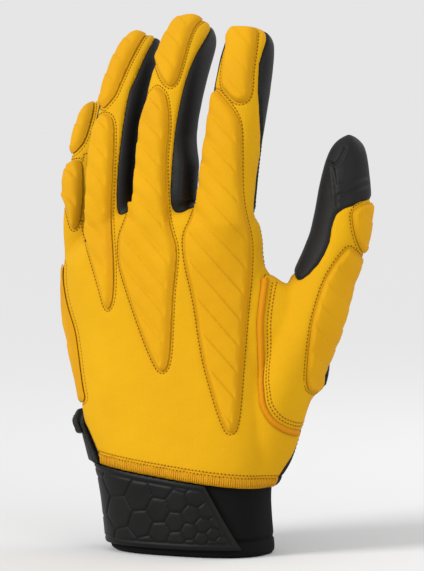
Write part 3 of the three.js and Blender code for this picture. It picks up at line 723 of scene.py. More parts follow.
# Pads: outlines in the view, in millimetres across and up, and the ray that limits each
PAD_OUTLINES = {
    "index_back_pad": [
        (9.7, 193.6), (12.6, 190.1), (15.5, 187), (18.1, 183.3), (19.7, 179.8), (20.4, 175.6),
        (20.5, 167.6), (20.5, 156.2), (20.9, 148.7), (21.9, 141.5), (23.6, 134.8),
        (24.8, 128.5), (24.7, 121.4), (24.4, 114.2), (23.6, 107.5), (22.8, 99.1), (21.9, 87.8),
        (20.8, 73.9), (20, 62.6), (19.1, 54.2), (18.1, 50.2), (16.8, 48.9), (15.1, 49.1),
        (13.6, 51.7), (11.3, 57.8), (8.5, 67), (5.5, 77.5), (3.4, 89.2), (1.9, 100.6),
        (0, 109.8), (-1.7, 116.3), (-3.1, 124.7), (-3.4, 129.8), (-2.5, 133.6), (-0.4, 137.8),
        (1.7, 143.6), (2.1, 150.8), (2.5, 159.2), (3.4, 167.6), (4.6, 178.1), (5.9, 186.5),
    ],
    "middle_back_pad": [
        (-15.1, 194.5), (-13, 192.9), (-11.3, 191.1), (-10.7, 188.6), (-10, 184),
        (-9.7, 177.2), (-10.5, 170.4), (-11.1, 163.4), (-11.1, 156.4), (-10.7, 148),
        (-10, 139.4), (-8.6, 132.9), (-6.9, 128.1), (-6.6, 122.8), (-7.4, 114.4),
        (-8.1, 108.8), (-8.6, 100.4), (-9.1, 87.8), (-9.7, 80.2), (-10.7, 76), (-12.6, 74.3),
        (-14.5, 76), (-18.1, 83.6), (-22.3, 94.9), (-26.2, 106.3), (-29.4, 116.3),
        (-30.4, 122.2), (-30.5, 128.3), (-29.8, 132.5), (-28, 137), (-26.5, 141), (-26.5, 148),
        (-25.6, 162), (-23.1, 174.6), (-18.9, 189.4),
    ],
    "ring_back_pad": [
        (-37.4, 182.7), (-35.3, 182.5), (-33.6, 181), (-32.9, 177.7), (-32.9, 171.8),
        (-33.3, 161.3), (-33.7, 152.9), (-34.1, 142.4), (-33.9, 134), (-33.3, 125.6),
        (-33, 117.2), (-33, 110.9), (-33.5, 104.6), (-34.9, 100.8), (-36.3, 101),
        (-38.4, 108.8), (-42, 121.4), (-44.1, 128.5), (-45.4, 136.1), (-46.2, 146.6),
        (-45.6, 159.2), (-43.7, 169.7), (-41.6, 176.8), (-39.5, 181),
    ],
    "pinky_back_pad": [
        (-52.1, 162.1), (-49.1, 163.2), (-46.3, 163.4), (-45.8, 156.7), (-46, 146.6),
        (-46.8, 138.2), (-48.9, 134.2), (-50.8, 135), (-52.3, 142.4), (-55.4, 150.8),
        (-56.3, 158.3),
    ],
    "pinky_tip_pad": [
        (-41.2, 192.8), (-41.2, 185.2), (-42, 181.4), (-44.7, 171.8), (-47.8, 167.8),
        (-50.2, 165.9), (-52.9, 165.5), (-54.6, 169.7), (-52.9, 176), (-49.6, 185.2),
        (-45.4, 191.1),
    ],
    "ring_tip_pad": [
        (-18.1, 223), (-17.2, 218.2), (-19.6, 216.1), (-21.8, 212.8), (-23.7, 209.2),
        (-26, 205), (-28.8, 198.7), (-30.9, 193.8), (-32.4, 190.3), (-35.5, 186.6),
        (-37.4, 184.8), (-38.9, 187.3), (-40.7, 190.3), (-43.7, 192.8), (-47, 197),
        (-31.1, 227.2),
    ],
    "middle_tip_pad": [
        (5.5, 226.4), (5.9, 223), (2.5, 221.3), (0, 217.6), (-2.1, 211.3), (-4.2, 203.5),
        (-5.8, 198.1), (-7.2, 195.4), (-9.5, 194), (-12.6, 197.2), (-14.4, 201.6),
        (-15.5, 206.2), (-18.5, 209.6), (-14.3, 218.8), (-3.8, 229.3),
    ],
    "index_tip_pad": [
        (15.1, 223), (22.3, 224.7), (26.9, 222.2), (27.2, 218), (26.8, 212.5), (26.2, 207.9),
        (25.1, 201.2), (24.8, 192.8), (23.7, 189.3), (21.3, 187.6), (18.9, 187.7),
        (16.5, 189.3), (14.4, 191.9), (12.7, 194), (12.5, 198.2), (13.4, 205), (14.2, 210.8),
        (14.3, 216.3),
    ],
    "side_pad": [
        (-59.6, 120.5), (-57.5, 122.4), (-54.8, 122.1), (-54, 118.9), (-54.3, 114.2),
        (-53.5, 107.5), (-51.9, 100.4), (-49.1, 92), (-47.9, 83.6), (-46.8, 74.3),
        (-45.8, 67.2), (-44.7, 63), (-47, 60.9), (-55.4, 62.6), (-63.8, 104.6),
    ],
    "thumb_tip_pad": [
        (67.2, 142), (67.5, 137.3), (68.4, 132.1), (70, 127.3), (71.9, 124), (75.6, 123.9),
        (81.5, 129.8), (81.5, 146.6), (73.1, 145.3),
    ],
    "thumb_base_pad": [
        (66.4, 127), (63.5, 124.3), (59.1, 118.4), (55.5, 111.8), (52.8, 103.5), (50.7, 96),
        (49.5, 87.7), (48.6, 79.4), (48, 69.3), (49.6, 65.7), (58, 65.5), (81.1, 104.6),
        (81.1, 120.5), (72.2, 121.5), (68.9, 124.1),
    ],
}
PAD_LIMITS = {
    "index_back_pad": ("index", -46, 105), "middle_back_pad": ("middle", -44, 70),
    "ring_back_pad": ("ring", -44, 60), "pinky_back_pad": ("pinky", -66, 60),
    "pinky_tip_pad": ("pinky", -66, 60), "ring_tip_pad": ("ring", -44, 60),
    "middle_tip_pad": ("middle", -44, 70), "index_tip_pad": ("index", -44, 80),
    "side_pad": ("hand", None, None), "thumb_tip_pad": ("thumb", -60, 48),
    "thumb_base_pad": ("thumb", -60, 45),
}
TIP_LIMIT = 0.975
TIP_OUT = 1.4
SIDE_PAD_BACK = 10.0
SIDE_PAD_RIGHT = -20
PALM_PAD_BACK = 12
FINGER_FROM = 0.05
KNIT_MARGIN = 0.7
BEVEL = 1.5
RIGHT_BEVEL = 1.6
PAD_ROUND = 0.3
MOST_BEVELS = 9
PAD_LIFT = 0.12
PAD_FOOT = 0.28
THIN_PAD = 0.6
LOW_RIBS = 0.5
RIB_PITCH = 12.0
RIB_SLOPE = 1.22
RIB_DEPTH = 0.75
RIB_START = 0.06
RIB_FADE = 0.5


def pad_field(name, points, knit):
    """Field of a pad, and how many bevels in from its edge each point is."""
    outline = rounded(PAD_OUTLINES[name])
    run = np.roll(outline, -1, 0) - outline
    area = (outline[:, 0] * run[:, 1] - outline[:, 1] * run[:, 0]).sum()
    facing = unit(run)[:, 1] * np.sign(area)
    slopes = BEVEL + RIGHT_BEVEL * np.clip(facing, 0, 1) ** 2
    field, eased = outline_field(in_view(points), outline, slopes)
    eased = np.where(field < 0, eased, 0)
    ray, low, high = PAD_LIMITS[name]
    if low is None:
        limits = [points[:, 1] - SIDE_PAD_BACK, points[:, 0] - SIDE_PAD_RIGHT]
    else:
        share, angle, radius, out = ray_places(RAYS[ray], points)
        arc = np.radians(1) * radius
        on_finger = (share > FINGER_FROM) & (out < FINGER_OUT)
        side = np.maximum((low - angle) * arc, (angle - high) * arc)
        limits = [np.where(on_finger, side, points[:, 1] - PALM_PAD_BACK)]
        if name.endswith("tip_pad") and ray != "thumb":
            limits.append((share - TIP_LIMIT) * RAYS[ray]["length"])
        if name.endswith("tip_pad") or ray == "thumb":
            limits.append(np.where(out < TIP_OUT, -OFF, OFF))
    limits.append(knit + KNIT_MARGIN)
    limit = np.maximum.reduce(limits)
    eased = np.minimum(eased, np.clip(-limit / BEVEL, 0, MOST_BEVELS))
    return np.maximum(field, limit), eased


def ribs(points, strength):
    """Slanting moulded ribs: sharp on the upper side and fading out below."""
    across, up = in_view(points).T
    turn = (up + across * RIB_SLOPE) / RIB_PITCH % 1
    rise = np.where(turn < RIB_START, turn / RIB_START, 1 - bump_of((turn - RIB_START) / RIB_FADE))
    return -RIB_DEPTH * strength * rise


# Where the knuckles are eased: axis, sign, limit and run of each end, in millimetres
KNUCKLE_ENDS = [(2, 1, 106, 8), (2, -1, 137, 6), (1, -1, -1, 5), (0, -1, 36, 6), (0, 1, -48, 5)]
KNUCKLE_TURNS = 220
KNUCKLE_PULL = 0.8
# Slow waves of a surface: height, length and the seed of their directions
BASE_WAVES = ((0.22, 34, 3), (0.07, 9, 4))
PAD_WAVES = (0.06, 14, 7)
CUFF_WAVES = (0.12, 16, 11)
STRAP_WAVES = (0.05, 12, 21)


def relaxed(points, tris, weight, turns):
    """The points drawn towards the middle of their neighbours, as far as the weight says."""
    edges = edges_of(tris)
    a, b = edges[weight[edges[:, 0]] > 0].T
    count = len(points)
    share = weight / np.maximum(np.bincount(a, minlength=count), 1)
    points = points.copy()
    for _ in range(turns):
        for k in range(3):
            pull = np.bincount(a, points[b, k] - points[a, k], minlength=count)
            points[:, k] += KNUCKLE_PULL * share * pull
    return points


def face_normals(points, tris):
    """The normal of each triangle, as long as twice its area."""
    a, b, c = (points[tris[:, k]] for k in range(3))
    return np.cross(b - a, c - a)


def normals_of(points, tris):
    face = face_normals(points, tris)
    return unit(np.stack([
        sum(np.bincount(tris[:, j], face[:, k], minlength=len(points)) for j in range(3))
        for k in range(3)
    ], 1))


def waves(points, height, length, seed):
    return height * wave_noise(points, length, seed)


def prepared_base():
    """The surface that everything is laid on, eased at the knuckles, with slow waves in it."""
    points, tris = base_surface()
    knuckles = math.prod(
        bump_of(sign * (points[:, axis] - limit) / run) for axis, sign, limit, run in KNUCKLE_ENDS
    )
    points = relaxed(points, tris, knuckles, KNUCKLE_TURNS)
    normals = normals_of(points, tris)
    points = points + normals * sum(waves(points, *row) for row in BASE_WAVES)[:, None]
    return points, normals, tris


base_points, base_normals, base_tris = prepared_base()
fields = region_fields(base_points)
knit_field = np.minimum(fields["gold"], fields["thumb_panel"])
pad_fields = {name: pad_field(name, base_points, knit_field)[0] for name in PAD_OUTLINES}
nearest_pad = np.minimum.reduce(list(pad_fields.values()))

# Grooves and falls are a depth and a width
EDGE_DROP = 0.75
EDGE_RUN = 0.8
EDGE_POWER = 1.5
HEM_GROOVE = (0.3, 0.5)
HEM_FALL = (0.55, 0.6)
PAD_GROOVE = (0.38, 1.2)
STITCH_GROOVE = (0.12, 0.5)
HEM_BAND = 4.7
HEM_RUN = 0.9
HEM_RISE = 0.45
HEM_RIDGE = 0.16
HEM_RIDGE_PITCH = 1.15
STITCH_OUT = 1.1
BODY = "root"

WRAP_MIDDLE = np.array([56.0, 28.0, 150.0])
WRAP_EASE = 6
FOLD_SHARE = 0.45
FOLD_OUT = 1.5
# Seams and folds of the wrap: path across and up in the view, depth and width
WRAP_SEAMS = [
    ([(58.9, 161), (59.8, 156), (60.6, 150), (60.9, 144.5)], 0.4, 0.8),
    ([(56.2, 166.5), (57.6, 162), (60.2, 161.4), (62.6, 164.2), (64.4, 168.5)], 0.55, 0.8),
    ([(61.5, 148.6), (65, 149.3), (70, 151.6), (74.5, 153.4)], 0.42, 0.9),
    ([(61.5, 152.6), (67, 154.2), (74.6, 157.2)], 0.26, 1.0),
]


def bell(distance, middle, width):
    return np.exp(-(((distance - middle) / width) ** 2))


def groove(distance, middle, depth, width):
    return depth * bell(distance, middle, width)


def fall(distance, depth, width):
    """How far a surface drops near its edge."""
    return depth * np.exp(-np.maximum(distance, 0) / width)


def wrap_relief(points):
    """Seams and small folds on the thumb's wrap, drawn in the view on its near side."""
    places = in_view(points)
    near = bump_of((points - WRAP_MIDDLE) @ TOWARDS / WRAP_EASE)
    relief = np.zeros(len(points))
    for path, depth, width in WRAP_SEAMS:
        far = path_distance(places, smooth_path(np.array(path)))
        relief -= depth * near * bell(far, 0, width)
        relief += FOLD_SHARE * depth * near * bell(far, FOLD_OUT * width, width)
    return relief


def panel_relief(field, under):
    """Height of a panel's outer side over the base, from its own field and the pads'."""
    into = -field
    height = -EDGE_DROP * np.exp(-(np.maximum(into, 0) / EDGE_RUN) ** EDGE_POWER)
    from_hem = -fields["hem"]
    band = bump_of((HEM_BAND - from_hem) / HEM_RUN)
    rate = 2 * np.pi / HEM_RIDGE_PITCH
    ridges = np.sin(base_points[:, 0] * rate) * (np.abs(base_normals[:, 1]) > 0.35)
    height += band * (HEM_RISE + HEM_RIDGE * ridges) - groove(from_hem, HEM_BAND, *HEM_GROOVE)
    height -= fall(from_hem, *HEM_FALL)
    if under:
        height -= groove(nearest_pad, 0, *PAD_GROOVE)
        height -= groove(nearest_pad, STITCH_OUT, *STITCH_GROOVE)
    return height


def fork_bulge(into):
    """How far the soft finger sides puff out where the index and middle fingers part."""
    x, _, z = base_points.T
    below, above, inwards = FORK_EASES
    reach = bump_of((z - FORK_BULGE_BOTTOM) / below) * bump_of((FORK_BULGE_TOP - z) / above)
    return np.where(x < FORK_BULGE_MIDDLE, *FORK_BULGES) * reach * bump_of(into / inwards)


def slab(name, tris, field, columns, inner=None):
    """A slab on the part of a surface where the field is negative.

    The columns are places, normals, the outer side's height, the darkening that the material
    applies (the hem band's own colour on the knit panels, painted shade on the pads, welt, cuff
    and strap) and, unless it is one number, the inner side's height.
    """
    tris, data, _ = clip(tris, field, columns)
    tris, data = largest(tris, data)
    points, normals = data[:, :3], unit(data[:, 3:6])
    low = data[:, 8:9] if inner is None else inner
    outer = points + normals * data[:, 6:7]
    return thick_mesh(name, tris, outer, points + normals * low, data[:, 7])


def finish_piece(name, mesh, material, node):
    obj = object_of(name, mesh)
    mesh.materials.append(material)
    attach(obj, BODY)
    if node:
        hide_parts(node)


def above_hem(node):
    return np.maximum(fields[node], fields["hem"])


def panel(node, material):
    field = above_hem(node) + SEAM_GAP
    knit = node in KNIT_PANELS
    height = panel_relief(above_hem(node), knit)
    tone_and_painted_shade = np.clip(-fields["hem"] / HEM_BAND, 0, 1)
    tone_and_painted_shade = np.where(tone_and_painted_shade < 0.99, -0.5, 0) if knit else np.zeros(len(tone_and_painted_shade))
    data = np.column_stack([base_points, base_normals, height, tone_and_painted_shade, field])
    tris = base_tris
    if node == "fourchette_middle_index":
        data[:, 6] += fork_bulge(-fields[node])
    if node == "thumb_wrap":
        tris, data = subdivided(*part_of(base_tris, data, field < 2))
        data[:, 6] += wrap_relief(data[:, :3])
    mesh = slab(node, tris, data[:, 8], data[:, :8], -SHELL_WALL)
    finish_piece(node + "_skin", mesh, material, node)


def pad(name, material):
    near = pad_fields[name]
    columns = np.column_stack([base_points, base_normals, knit_field])
    tris, data = subdivided(*part_of(base_tris, columns, near < 2.5))
    points, normals, knit = data[:, :3], unit(data[:, 3:6]), data[:, 6]
    field, eased = pad_field(name, points, knit)
    rise = smooth_min(eased, 1.0, PAD_ROUND)
    strength = LOW_RIBS if name.endswith("tip_pad") or "thumb" in name else 1.0
    thickness = PAD_THICKNESS * (THIN_PAD if name.startswith("thumb") else 1.0)
    height = PAD_FOOT + (thickness + CLEARANCE - PAD_FOOT) * rise
    height += ribs(points, strength * bump_of((eased - 0.6) / 0.5))
    height += waves(points, *PAD_WAVES)
    # Painted shade: darker on the bevels towards the pad's edge.
    tone_and_painted_shade = bump_of(eased - 0.2) * 0.6 - 0.3
    mesh = slab(name, tris, field, np.column_stack([points, normals, height, tone_and_painted_shade]), PAD_LIFT)
    finish_piece(name + "_foam", mesh, material, name)


# Stitches
def chains(segments, count):
    """Lines of linked points, from loose segments."""
    after = {}
    for a, b in segments.tolist():
        after.setdefault(a, []).append(b)
        after.setdefault(b, []).append(a)
    ends = [v for v, n in after.items() if len(n) == 1]
    seen, lines = set(), []
    for start in ends + list(after):
        if start in seen:
            continue
        line, here = [start], start
        seen.add(start)
        while True:
            step = [v for v in after[here] if v not in seen]
            if not step:
                break
            here = step[0]
            seen.add(here)
            line.append(here)
        if len(line) > 5:
            lines.append(line)
    return lines


def contour_lines(field, keep, height):
    """Lines on the surface where a field is zero, as points and normals, where keep is negative."""
    data = np.column_stack([base_points, base_normals, height, keep])
    near = (np.abs(field[base_tris]) < CONTOUR_REACH).any(1)
    _, values, segments = clip(base_tris[near], field, data)
    segments = segments[(values[segments, 7] < 0).all(1)]
    lines = []
    for line in chains(segments, len(values)):
        rows = values[line]
        points = rows[:, :3] + unit(rows[:, 3:6]) * rows[:, 6:7]
        for _ in range(3):
            points[1:-1] = (points[:-2] + 2 * points[1:-1] + points[2:]) / 4
        lines.append((points, rows[:, 3:6]))
    return lines


CONTOUR_REACH = 3
STITCH_PITCH = 1.55


BEAD_SIDES = 6
BEAD_RINGS = 4


def bead(sides, rings):
    """A unit ellipsoid: points and triangles."""
    points, tris = [[0, 0, -1]], []
    for i in range(1, rings):
        theta = np.pi * i / rings
        for k in range(sides):
            phi = 2 * np.pi * k / sides
            across = math.sin(theta)
            points.append([across * math.cos(phi), across * math.sin(phi), -math.cos(theta)])
    points.append([0, 0, 1])
    last = len(points) - 1
    for k in range(sides):
        n = (k + 1) % sides
        tris.append([0, 1 + n, 1 + k])
        for i in range(rings - 2):
            a = 1 + i * sides
            tris += [[a + k, a + n, a + sides + n], [a + k, a + sides + n, a + sides + k]]
        tris.append([1 + (rings - 2) * sides + k, 1 + (rings - 2) * sides + n, last])
    return np.array(points), np.array(tris)


def beads(places, along, normal, size):
    """Ellipsoids laid at places, long side along, sizes along, across and out."""
    shape, tris = bead(BEAD_SIDES, BEAD_RINGS)
    across = unit(np.cross(normal, along))
    out = unit(np.cross(along, across))
    half = np.asarray(size) / 2
    points = (
        places[:, None] + shape[None, :, 2:3] * half[0] * along[:, None]
        + shape[None, :, 0:1] * half[1] * across[:, None] + shape[None, :, 1:2] * half[2] * out[:, None]
    )
    start = np.arange(len(places))[:, None, None] * len(shape)
    return points.reshape(-1, 3), (tris[None] + start).reshape(-1, 3)


HEM_PITCH = 0.95
DARK_PITCH = 1.8
stitch_places = {"thread": [], "hole": [], "hem": [], "dark": []}


def run_of(points):
    """The length along a line up to each of its points."""
    return np.concatenate([[0], np.cumsum(np.linalg.norm(np.diff(points, axis=0), axis=1))])


def along_run(at, run, values):
    return np.stack([np.interp(at, run, values[:, k]) for k in range(3)], 1)


def sew(lines, pitch=STITCH_PITCH, kind="both", lift=0.02):
    for points, normals in lines:
        run = run_of(points)
        if run[-1] < 3 * pitch:
            continue
        count = int(run[-1] / pitch)
        for offset, which in ((0.0, "hole"), (0.5, "thread")) if kind == "both" else ((0.0, kind),):
            at = (np.arange(count) + offset + 0.25) * pitch
            before, place, ahead = (along_run(at + step, run, points) for step in (-0.5, 0, 0.5))
            normal = unit(along_run(at, run, normals))
            stitch_places[which].append((place + normal * lift, unit(ahead - before), normal))


def stitch_piece(name, which, size, material):
    place, along, normal = (np.concatenate([s[k] for s in stitch_places[which]]) for k in range(3))
    points, tris = beads(place, along, normal, size)
    mesh = fast_mesh(name, points, tris, np.zeros(len(points)))
    finish_piece(name, mesh, material, None)


# Tabs, welt, cuff and strap
HEEL_OUTLINE = np.array([
    (-0.9, 0.425), (-0.5, 0.425), (-0.3, 0.39), (-0.22, 0.32), (-0.22, 0.1), (-0.9, 0.1),
])
PULL_OUTLINE = np.array([(-0.9, 0.42), (-0.42, 0.42), (-0.42, 0.33), (-0.9, 0.35)])
PULL_BACK = 12.0
WELT_BACK = 8.0
HAND_SCALE = np.array([PALM_BREADTH, ROOT_HEIGHT])
RIM_ROUND = 0.9
RIM_SHARE = 0.35
WRIST_HEIGHT = 50
WRIST_SECTIONS = 400
CUFF_GRID = (0.8, 300)
CUFF_SEAM = 6.8
CUFF_OUTER_FALL = (0.9, 0.55)
CUFF_INNER_FALL = (0.5, 0.5)
CUFF_GROOVE = (0.6, 0.6)
CUFF_ROLL = (0.16, 2.4)


def flap(name, field, low, high, material, lift=0.0):
    """A slab on the hand between two heights, rounded along its edge."""
    depth = np.clip(-field / RIM_ROUND, 0, 1)
    height = low + (high - low) * (RIM_SHARE + (1 - RIM_SHARE) * np.sqrt(1 - (1 - depth) ** 2))
    lift = np.broadcast_to(lift, len(base_points))
    data = np.column_stack([base_points, base_normals, height + lift, depth - 1, low + lift])
    finish_piece(name + "_flap", slab(name, base_tris, field, data), material, name)


def wrist_surface(step, sides):
    """The hand's outer surface round the wrist, open at both ends."""
    rows = int(WRIST_HEIGHT / step)
    ray = hand_ray(WRIST_SECTIONS)
    angles = np.linspace(0, 2 * np.pi, sides, endpoint=False)
    rings = rings_of(ray, angles)
    heights = np.linspace(0, WRIST_HEIGHT, rows)
    at = np.interp(heights, ray["share"] * ROOT_HEIGHT, np.arange(WRIST_SECTIONS))
    low = at.astype(int)
    t = (at - low)[:, None, None]
    grid = rings[low] * (1 - t) + rings[np.minimum(low + 1, WRIST_SECTIONS - 1)] * t
    around = np.roll(grid, -1, 1) - np.roll(grid, 1, 1)
    upward = np.gradient(grid, axis=0)
    normals = unit(np.cross(upward, around))
    outward = grid - ray["centre"][low][:, None]
    normals *= np.sign((normals * outward).sum(2).mean())
    k = np.arange(sides)
    n = (k + 1) % sides
    i = np.arange(rows - 1)[:, None] * sides
    a, b, c, d = (v.ravel() for v in (i + k, i + n, i + sides + n, i + sides + k))
    tris = np.concatenate([np.stack([a, b, c], 1), np.stack([a, c, d], 1)])
    points, normals = grid.reshape(-1, 3), normals.reshape(-1, 3)
    if (face_normals(points, tris) * normals[tris[:, 0]]).sum() < 0:
        tris = tris[:, ::-1]
    return points, normals, tris


def hem_plane(x):
    return HEM_HEIGHT - x * math.tan(HEM_TILT)


def cuff_piece(material):
    points, normals, tris = wrist_surface(*CUFF_GRID)
    x, y, z = points.T
    field = z - hem_plane(x) - CUFF_TUCK
    outer = np.full(len(z), -SHELL_WALL - CLEARANCE)
    outer -= fall(z, *CUFF_OUTER_FALL) + groove(z, CUFF_SEAM, *CUFF_GROOVE)
    outer += groove(z, CUFF_SEAM / 2, *CUFF_ROLL) + waves(points, *CUFF_WAVES)
    outer = np.minimum(outer, -SHELL_WALL - 0.12)
    inner = np.full(len(z), -SHELL_WALL - CLEARANCE - CUFF_WALL) + fall(z, *CUFF_INNER_FALL)
    # Painted shade: darker along the seam's groove.
    tone_and_painted_shade = -bell(z, CUFF_SEAM, 0.8)
    mesh = slab("cuff", tris, field, np.column_stack([points, normals, outer, tone_and_painted_shade, inner]))
    finish_piece("cuff_knit", mesh, material, "cuff")


SCALE_POLE = (40.0, -6.0)
SCALE_STEP = 0.2
STRAP_FRAME = 2.4
STRAP_GRID = (0.42, 560)
# The strap's slanting end: how far right it reaches at these heights, and the slant's scale
STRAP_ENDS = ([-14, 0, 30.1, 70], [33.2, 33.2, 16.8, 16.8])
STRAP_LEANS = ([0, 2, 28, 32], [0.9, 0.87, 0.87, 1])
STRAP_END_BEHIND = 11.9
STRAP_GROOVE = (0.35, 0.45)
STRAP_FALL = (0.5, 0.5)
SCALE_DOME = 0.5
SCALE_EDGE = 0.35
SCALE_SAG = 0.12
SCALE_SINK = 0.42


def scale_borders(x, z):
    """Distance to the edges of scales that grow away from a pole, and each scale's reach."""
    from_pole = np.stack([SCALE_POLE[0] - x, z - SCALE_POLE[1]], 1)
    radius = np.linalg.norm(from_pole, axis=1)
    p = np.log(radius) / SCALE_STEP
    q = np.arctan2(from_pole[:, 1], from_pole[:, 0]) / SCALE_STEP
    j = np.round(q / (math.sqrt(3) / 2))
    distances = []
    for dj in (-1, 0, 1):
        row = j + dj
        shift = 0.5 * (row % 2)
        column = np.round(p - shift)
        for di in (-1, 0, 1):
            distances.append(np.hypot(p - (column + di + shift), q - row * math.sqrt(3) / 2))
    distances = np.sort(np.stack(distances), axis=0)
    size = radius * SCALE_STEP
    return (distances[1] - distances[0]) / 2 * size, distances[0] * size, size


def strap_piece(material):
    points, normals, tris = wrist_surface(*STRAP_GRID)
    x, y, z = points.T
    right, lean = np.interp(z, *STRAP_ENDS), np.interp(z, *STRAP_LEANS)
    end = np.where(y < 0, (x - right) * lean, x - STRAP_END_BEHIND)
    field = np.maximum.reduce([z - hem_plane(x) + CLEARANCE, STRAP_BOTTOM - z, end])
    inside = -field
    border, reach, size = scale_borders(x, z)
    height = np.full(len(z), STRAP_THICKNESS - SHELL_WALL)
    front = bump_of((-y - 2) / 5)
    scales = bump_of((inside - STRAP_FRAME) / 0.6) * front
    dome = SCALE_DOME * (1 - np.exp(-border / SCALE_EDGE)) - SCALE_SAG * (reach / size) ** 2
    height += scales * (dome - SCALE_SINK) - groove(inside, STRAP_FRAME, *STRAP_GROOVE) * front
    height -= fall(inside, *STRAP_FALL)
    height += waves(points, *STRAP_WAVES)
    # Painted shade: darker in the grooves between the scales.
    columns = np.column_stack([points, normals, height, -scales * np.exp(-border / 0.4)])
    mesh = slab("wrist_strap", tris, field, columns, -SHELL_WALL)
    finish_piece("wrist_strap_rubber", mesh, material, "wrist_strap")


# Materials
PATCH_SCALE = 38.0
PATCH_RANGE = (0.35, 0.7)
PATCH_ROUGHNESS = 0.16


def feed(tree, socket, value):
    """Links a socket to another one, or sets its value."""
    if isinstance(value, bpy.types.NodeSocket):
        tree.links.new(value, socket)
    else:
        socket.default_value = value


def node_of(tree, kind, inputs=None, **settings):
    node = tree.nodes.new(kind)
    for key, value in settings.items():
        setattr(node, key, value)
    for key, value in (inputs or {}).items():
        feed(tree, node.inputs[key], value)
    return node


def math_of(tree, operation, a, b=0.0, **settings):
    return node_of(tree, "ShaderNodeMath", {0: a, 1: b}, operation=operation, **settings).outputs[0]


def mix_of(tree, factor, a, b):
    node = node_of(tree, "ShaderNodeMix", data_type="RGBA", blend_type="MIX")
    for name, value in (("Factor", factor), ("A", a), ("B", b)):
        feed(tree, next(s for s in node.inputs if s.name == name and s.enabled), value)
    return next(s for s in node.outputs if s.enabled)


def ramp_of(tree, value, low, high):
    return node_of(
        tree, "ShaderNodeMapRange", {"Value": value, "From Min": low, "From Max": high},
    ).outputs[0]


def surface(name, deep, main, light, roughness, build, bump, relief, gloss):
    """A material with slow colour changes, a darkening carried on the mesh (the hem band's own colour and
    painted shade), a darkening from its build (painted shade between knitted loops, darker cell borders in
    a grain) and a fine relief.
    """
    material = bpy.data.materials.new(name)
    material.use_nodes = True
    tree = material.node_tree
    shader = tree.nodes["Principled BSDF"]
    place = node_of(tree, "ShaderNodeTexCoord").outputs["Object"]
    patches = node_of(
        tree, "ShaderNodeTexNoise", {"Vector": place, "Scale": PATCH_SCALE, "Detail": 3.0},
    ).outputs[0]
    tone_and_painted_shade = node_of(tree, "ShaderNodeAttribute", attribute_name="tone_and_painted_shade").outputs["Fac"]
    fine, grain_and_painted_shade = build(tree, place)
    colour = mix_of(tree, ramp_of(tree, patches, *PATCH_RANGE), (*main, 1), (*light, 1))
    # Darkened towards the deep colour by the mesh's darkening (hem band colour, painted shade) and by the
    # build's (painted shade between knitted loops, darker grain cell borders).
    for factor in (math_of(tree, "MULTIPLY", tone_and_painted_shade, -1.0, use_clamp=True), grain_and_painted_shade):
        colour = mix_of(tree, factor, colour, (*deep, 1))
    uneven = math_of(tree, "MULTIPLY", patches, PATCH_ROUGHNESS)
    height = node_of(tree, "ShaderNodeBump", {"Height": fine, "Strength": bump, "Distance": relief})
    feed(tree, shader.inputs["Base Color"], colour)
    feed(tree, shader.inputs["Roughness"], math_of(tree, "ADD", uneven, roughness - PATCH_ROUGHNESS / 2))
    feed(tree, shader.inputs["Normal"], height.outputs[0])
    feed(tree, shader.inputs["Specular IOR Level"], gloss)
    return material


def knit_build(pitch, depth):
    """Rows of knitted loops: their height, and the shade between them."""
    def build(tree, place):
        do = partial(math_of, tree)
        x, y, z = node_of(tree, "ShaderNodeSeparateXYZ", {0: place}).outputs
        across = do("ADD", do("MULTIPLY", x, 0.9), do("MULTIPLY", y, 0.44))
        columns = do("PINGPONG", do("DIVIDE", across, pitch), 0.5)
        rows = do("ADD", do("DIVIDE", z, pitch * 0.8), columns)
        wave = do("ABSOLUTE", do("SINE", do("MULTIPLY", rows, math.pi)))
        loops = do("MULTIPLY", wave, do("SQRT", do("MULTIPLY", columns, 2.0)))
        return loops, do("MULTIPLY", do("SUBTRACT", 1.0, loops), depth)
    return build


def grain_build(scale, depth):
    """A fine grain of cells and noise: its height, and a colour that darkens towards the cells' borders."""
    def build(tree, place):
        cells = node_of(tree, "ShaderNodeTexVoronoi", {"Vector": place, "Scale": scale})
        grain = node_of(
            tree, "ShaderNodeTexNoise", {"Vector": place, "Scale": scale * 0.35, "Detail": 4.0},
        )
        far = cells.outputs["Distance"]
        height = math_of(tree, "ADD", math_of(tree, "MULTIPLY", far, 0.6), grain.outputs[0])
        return height, math_of(tree, "MULTIPLY", far, depth)
    return build


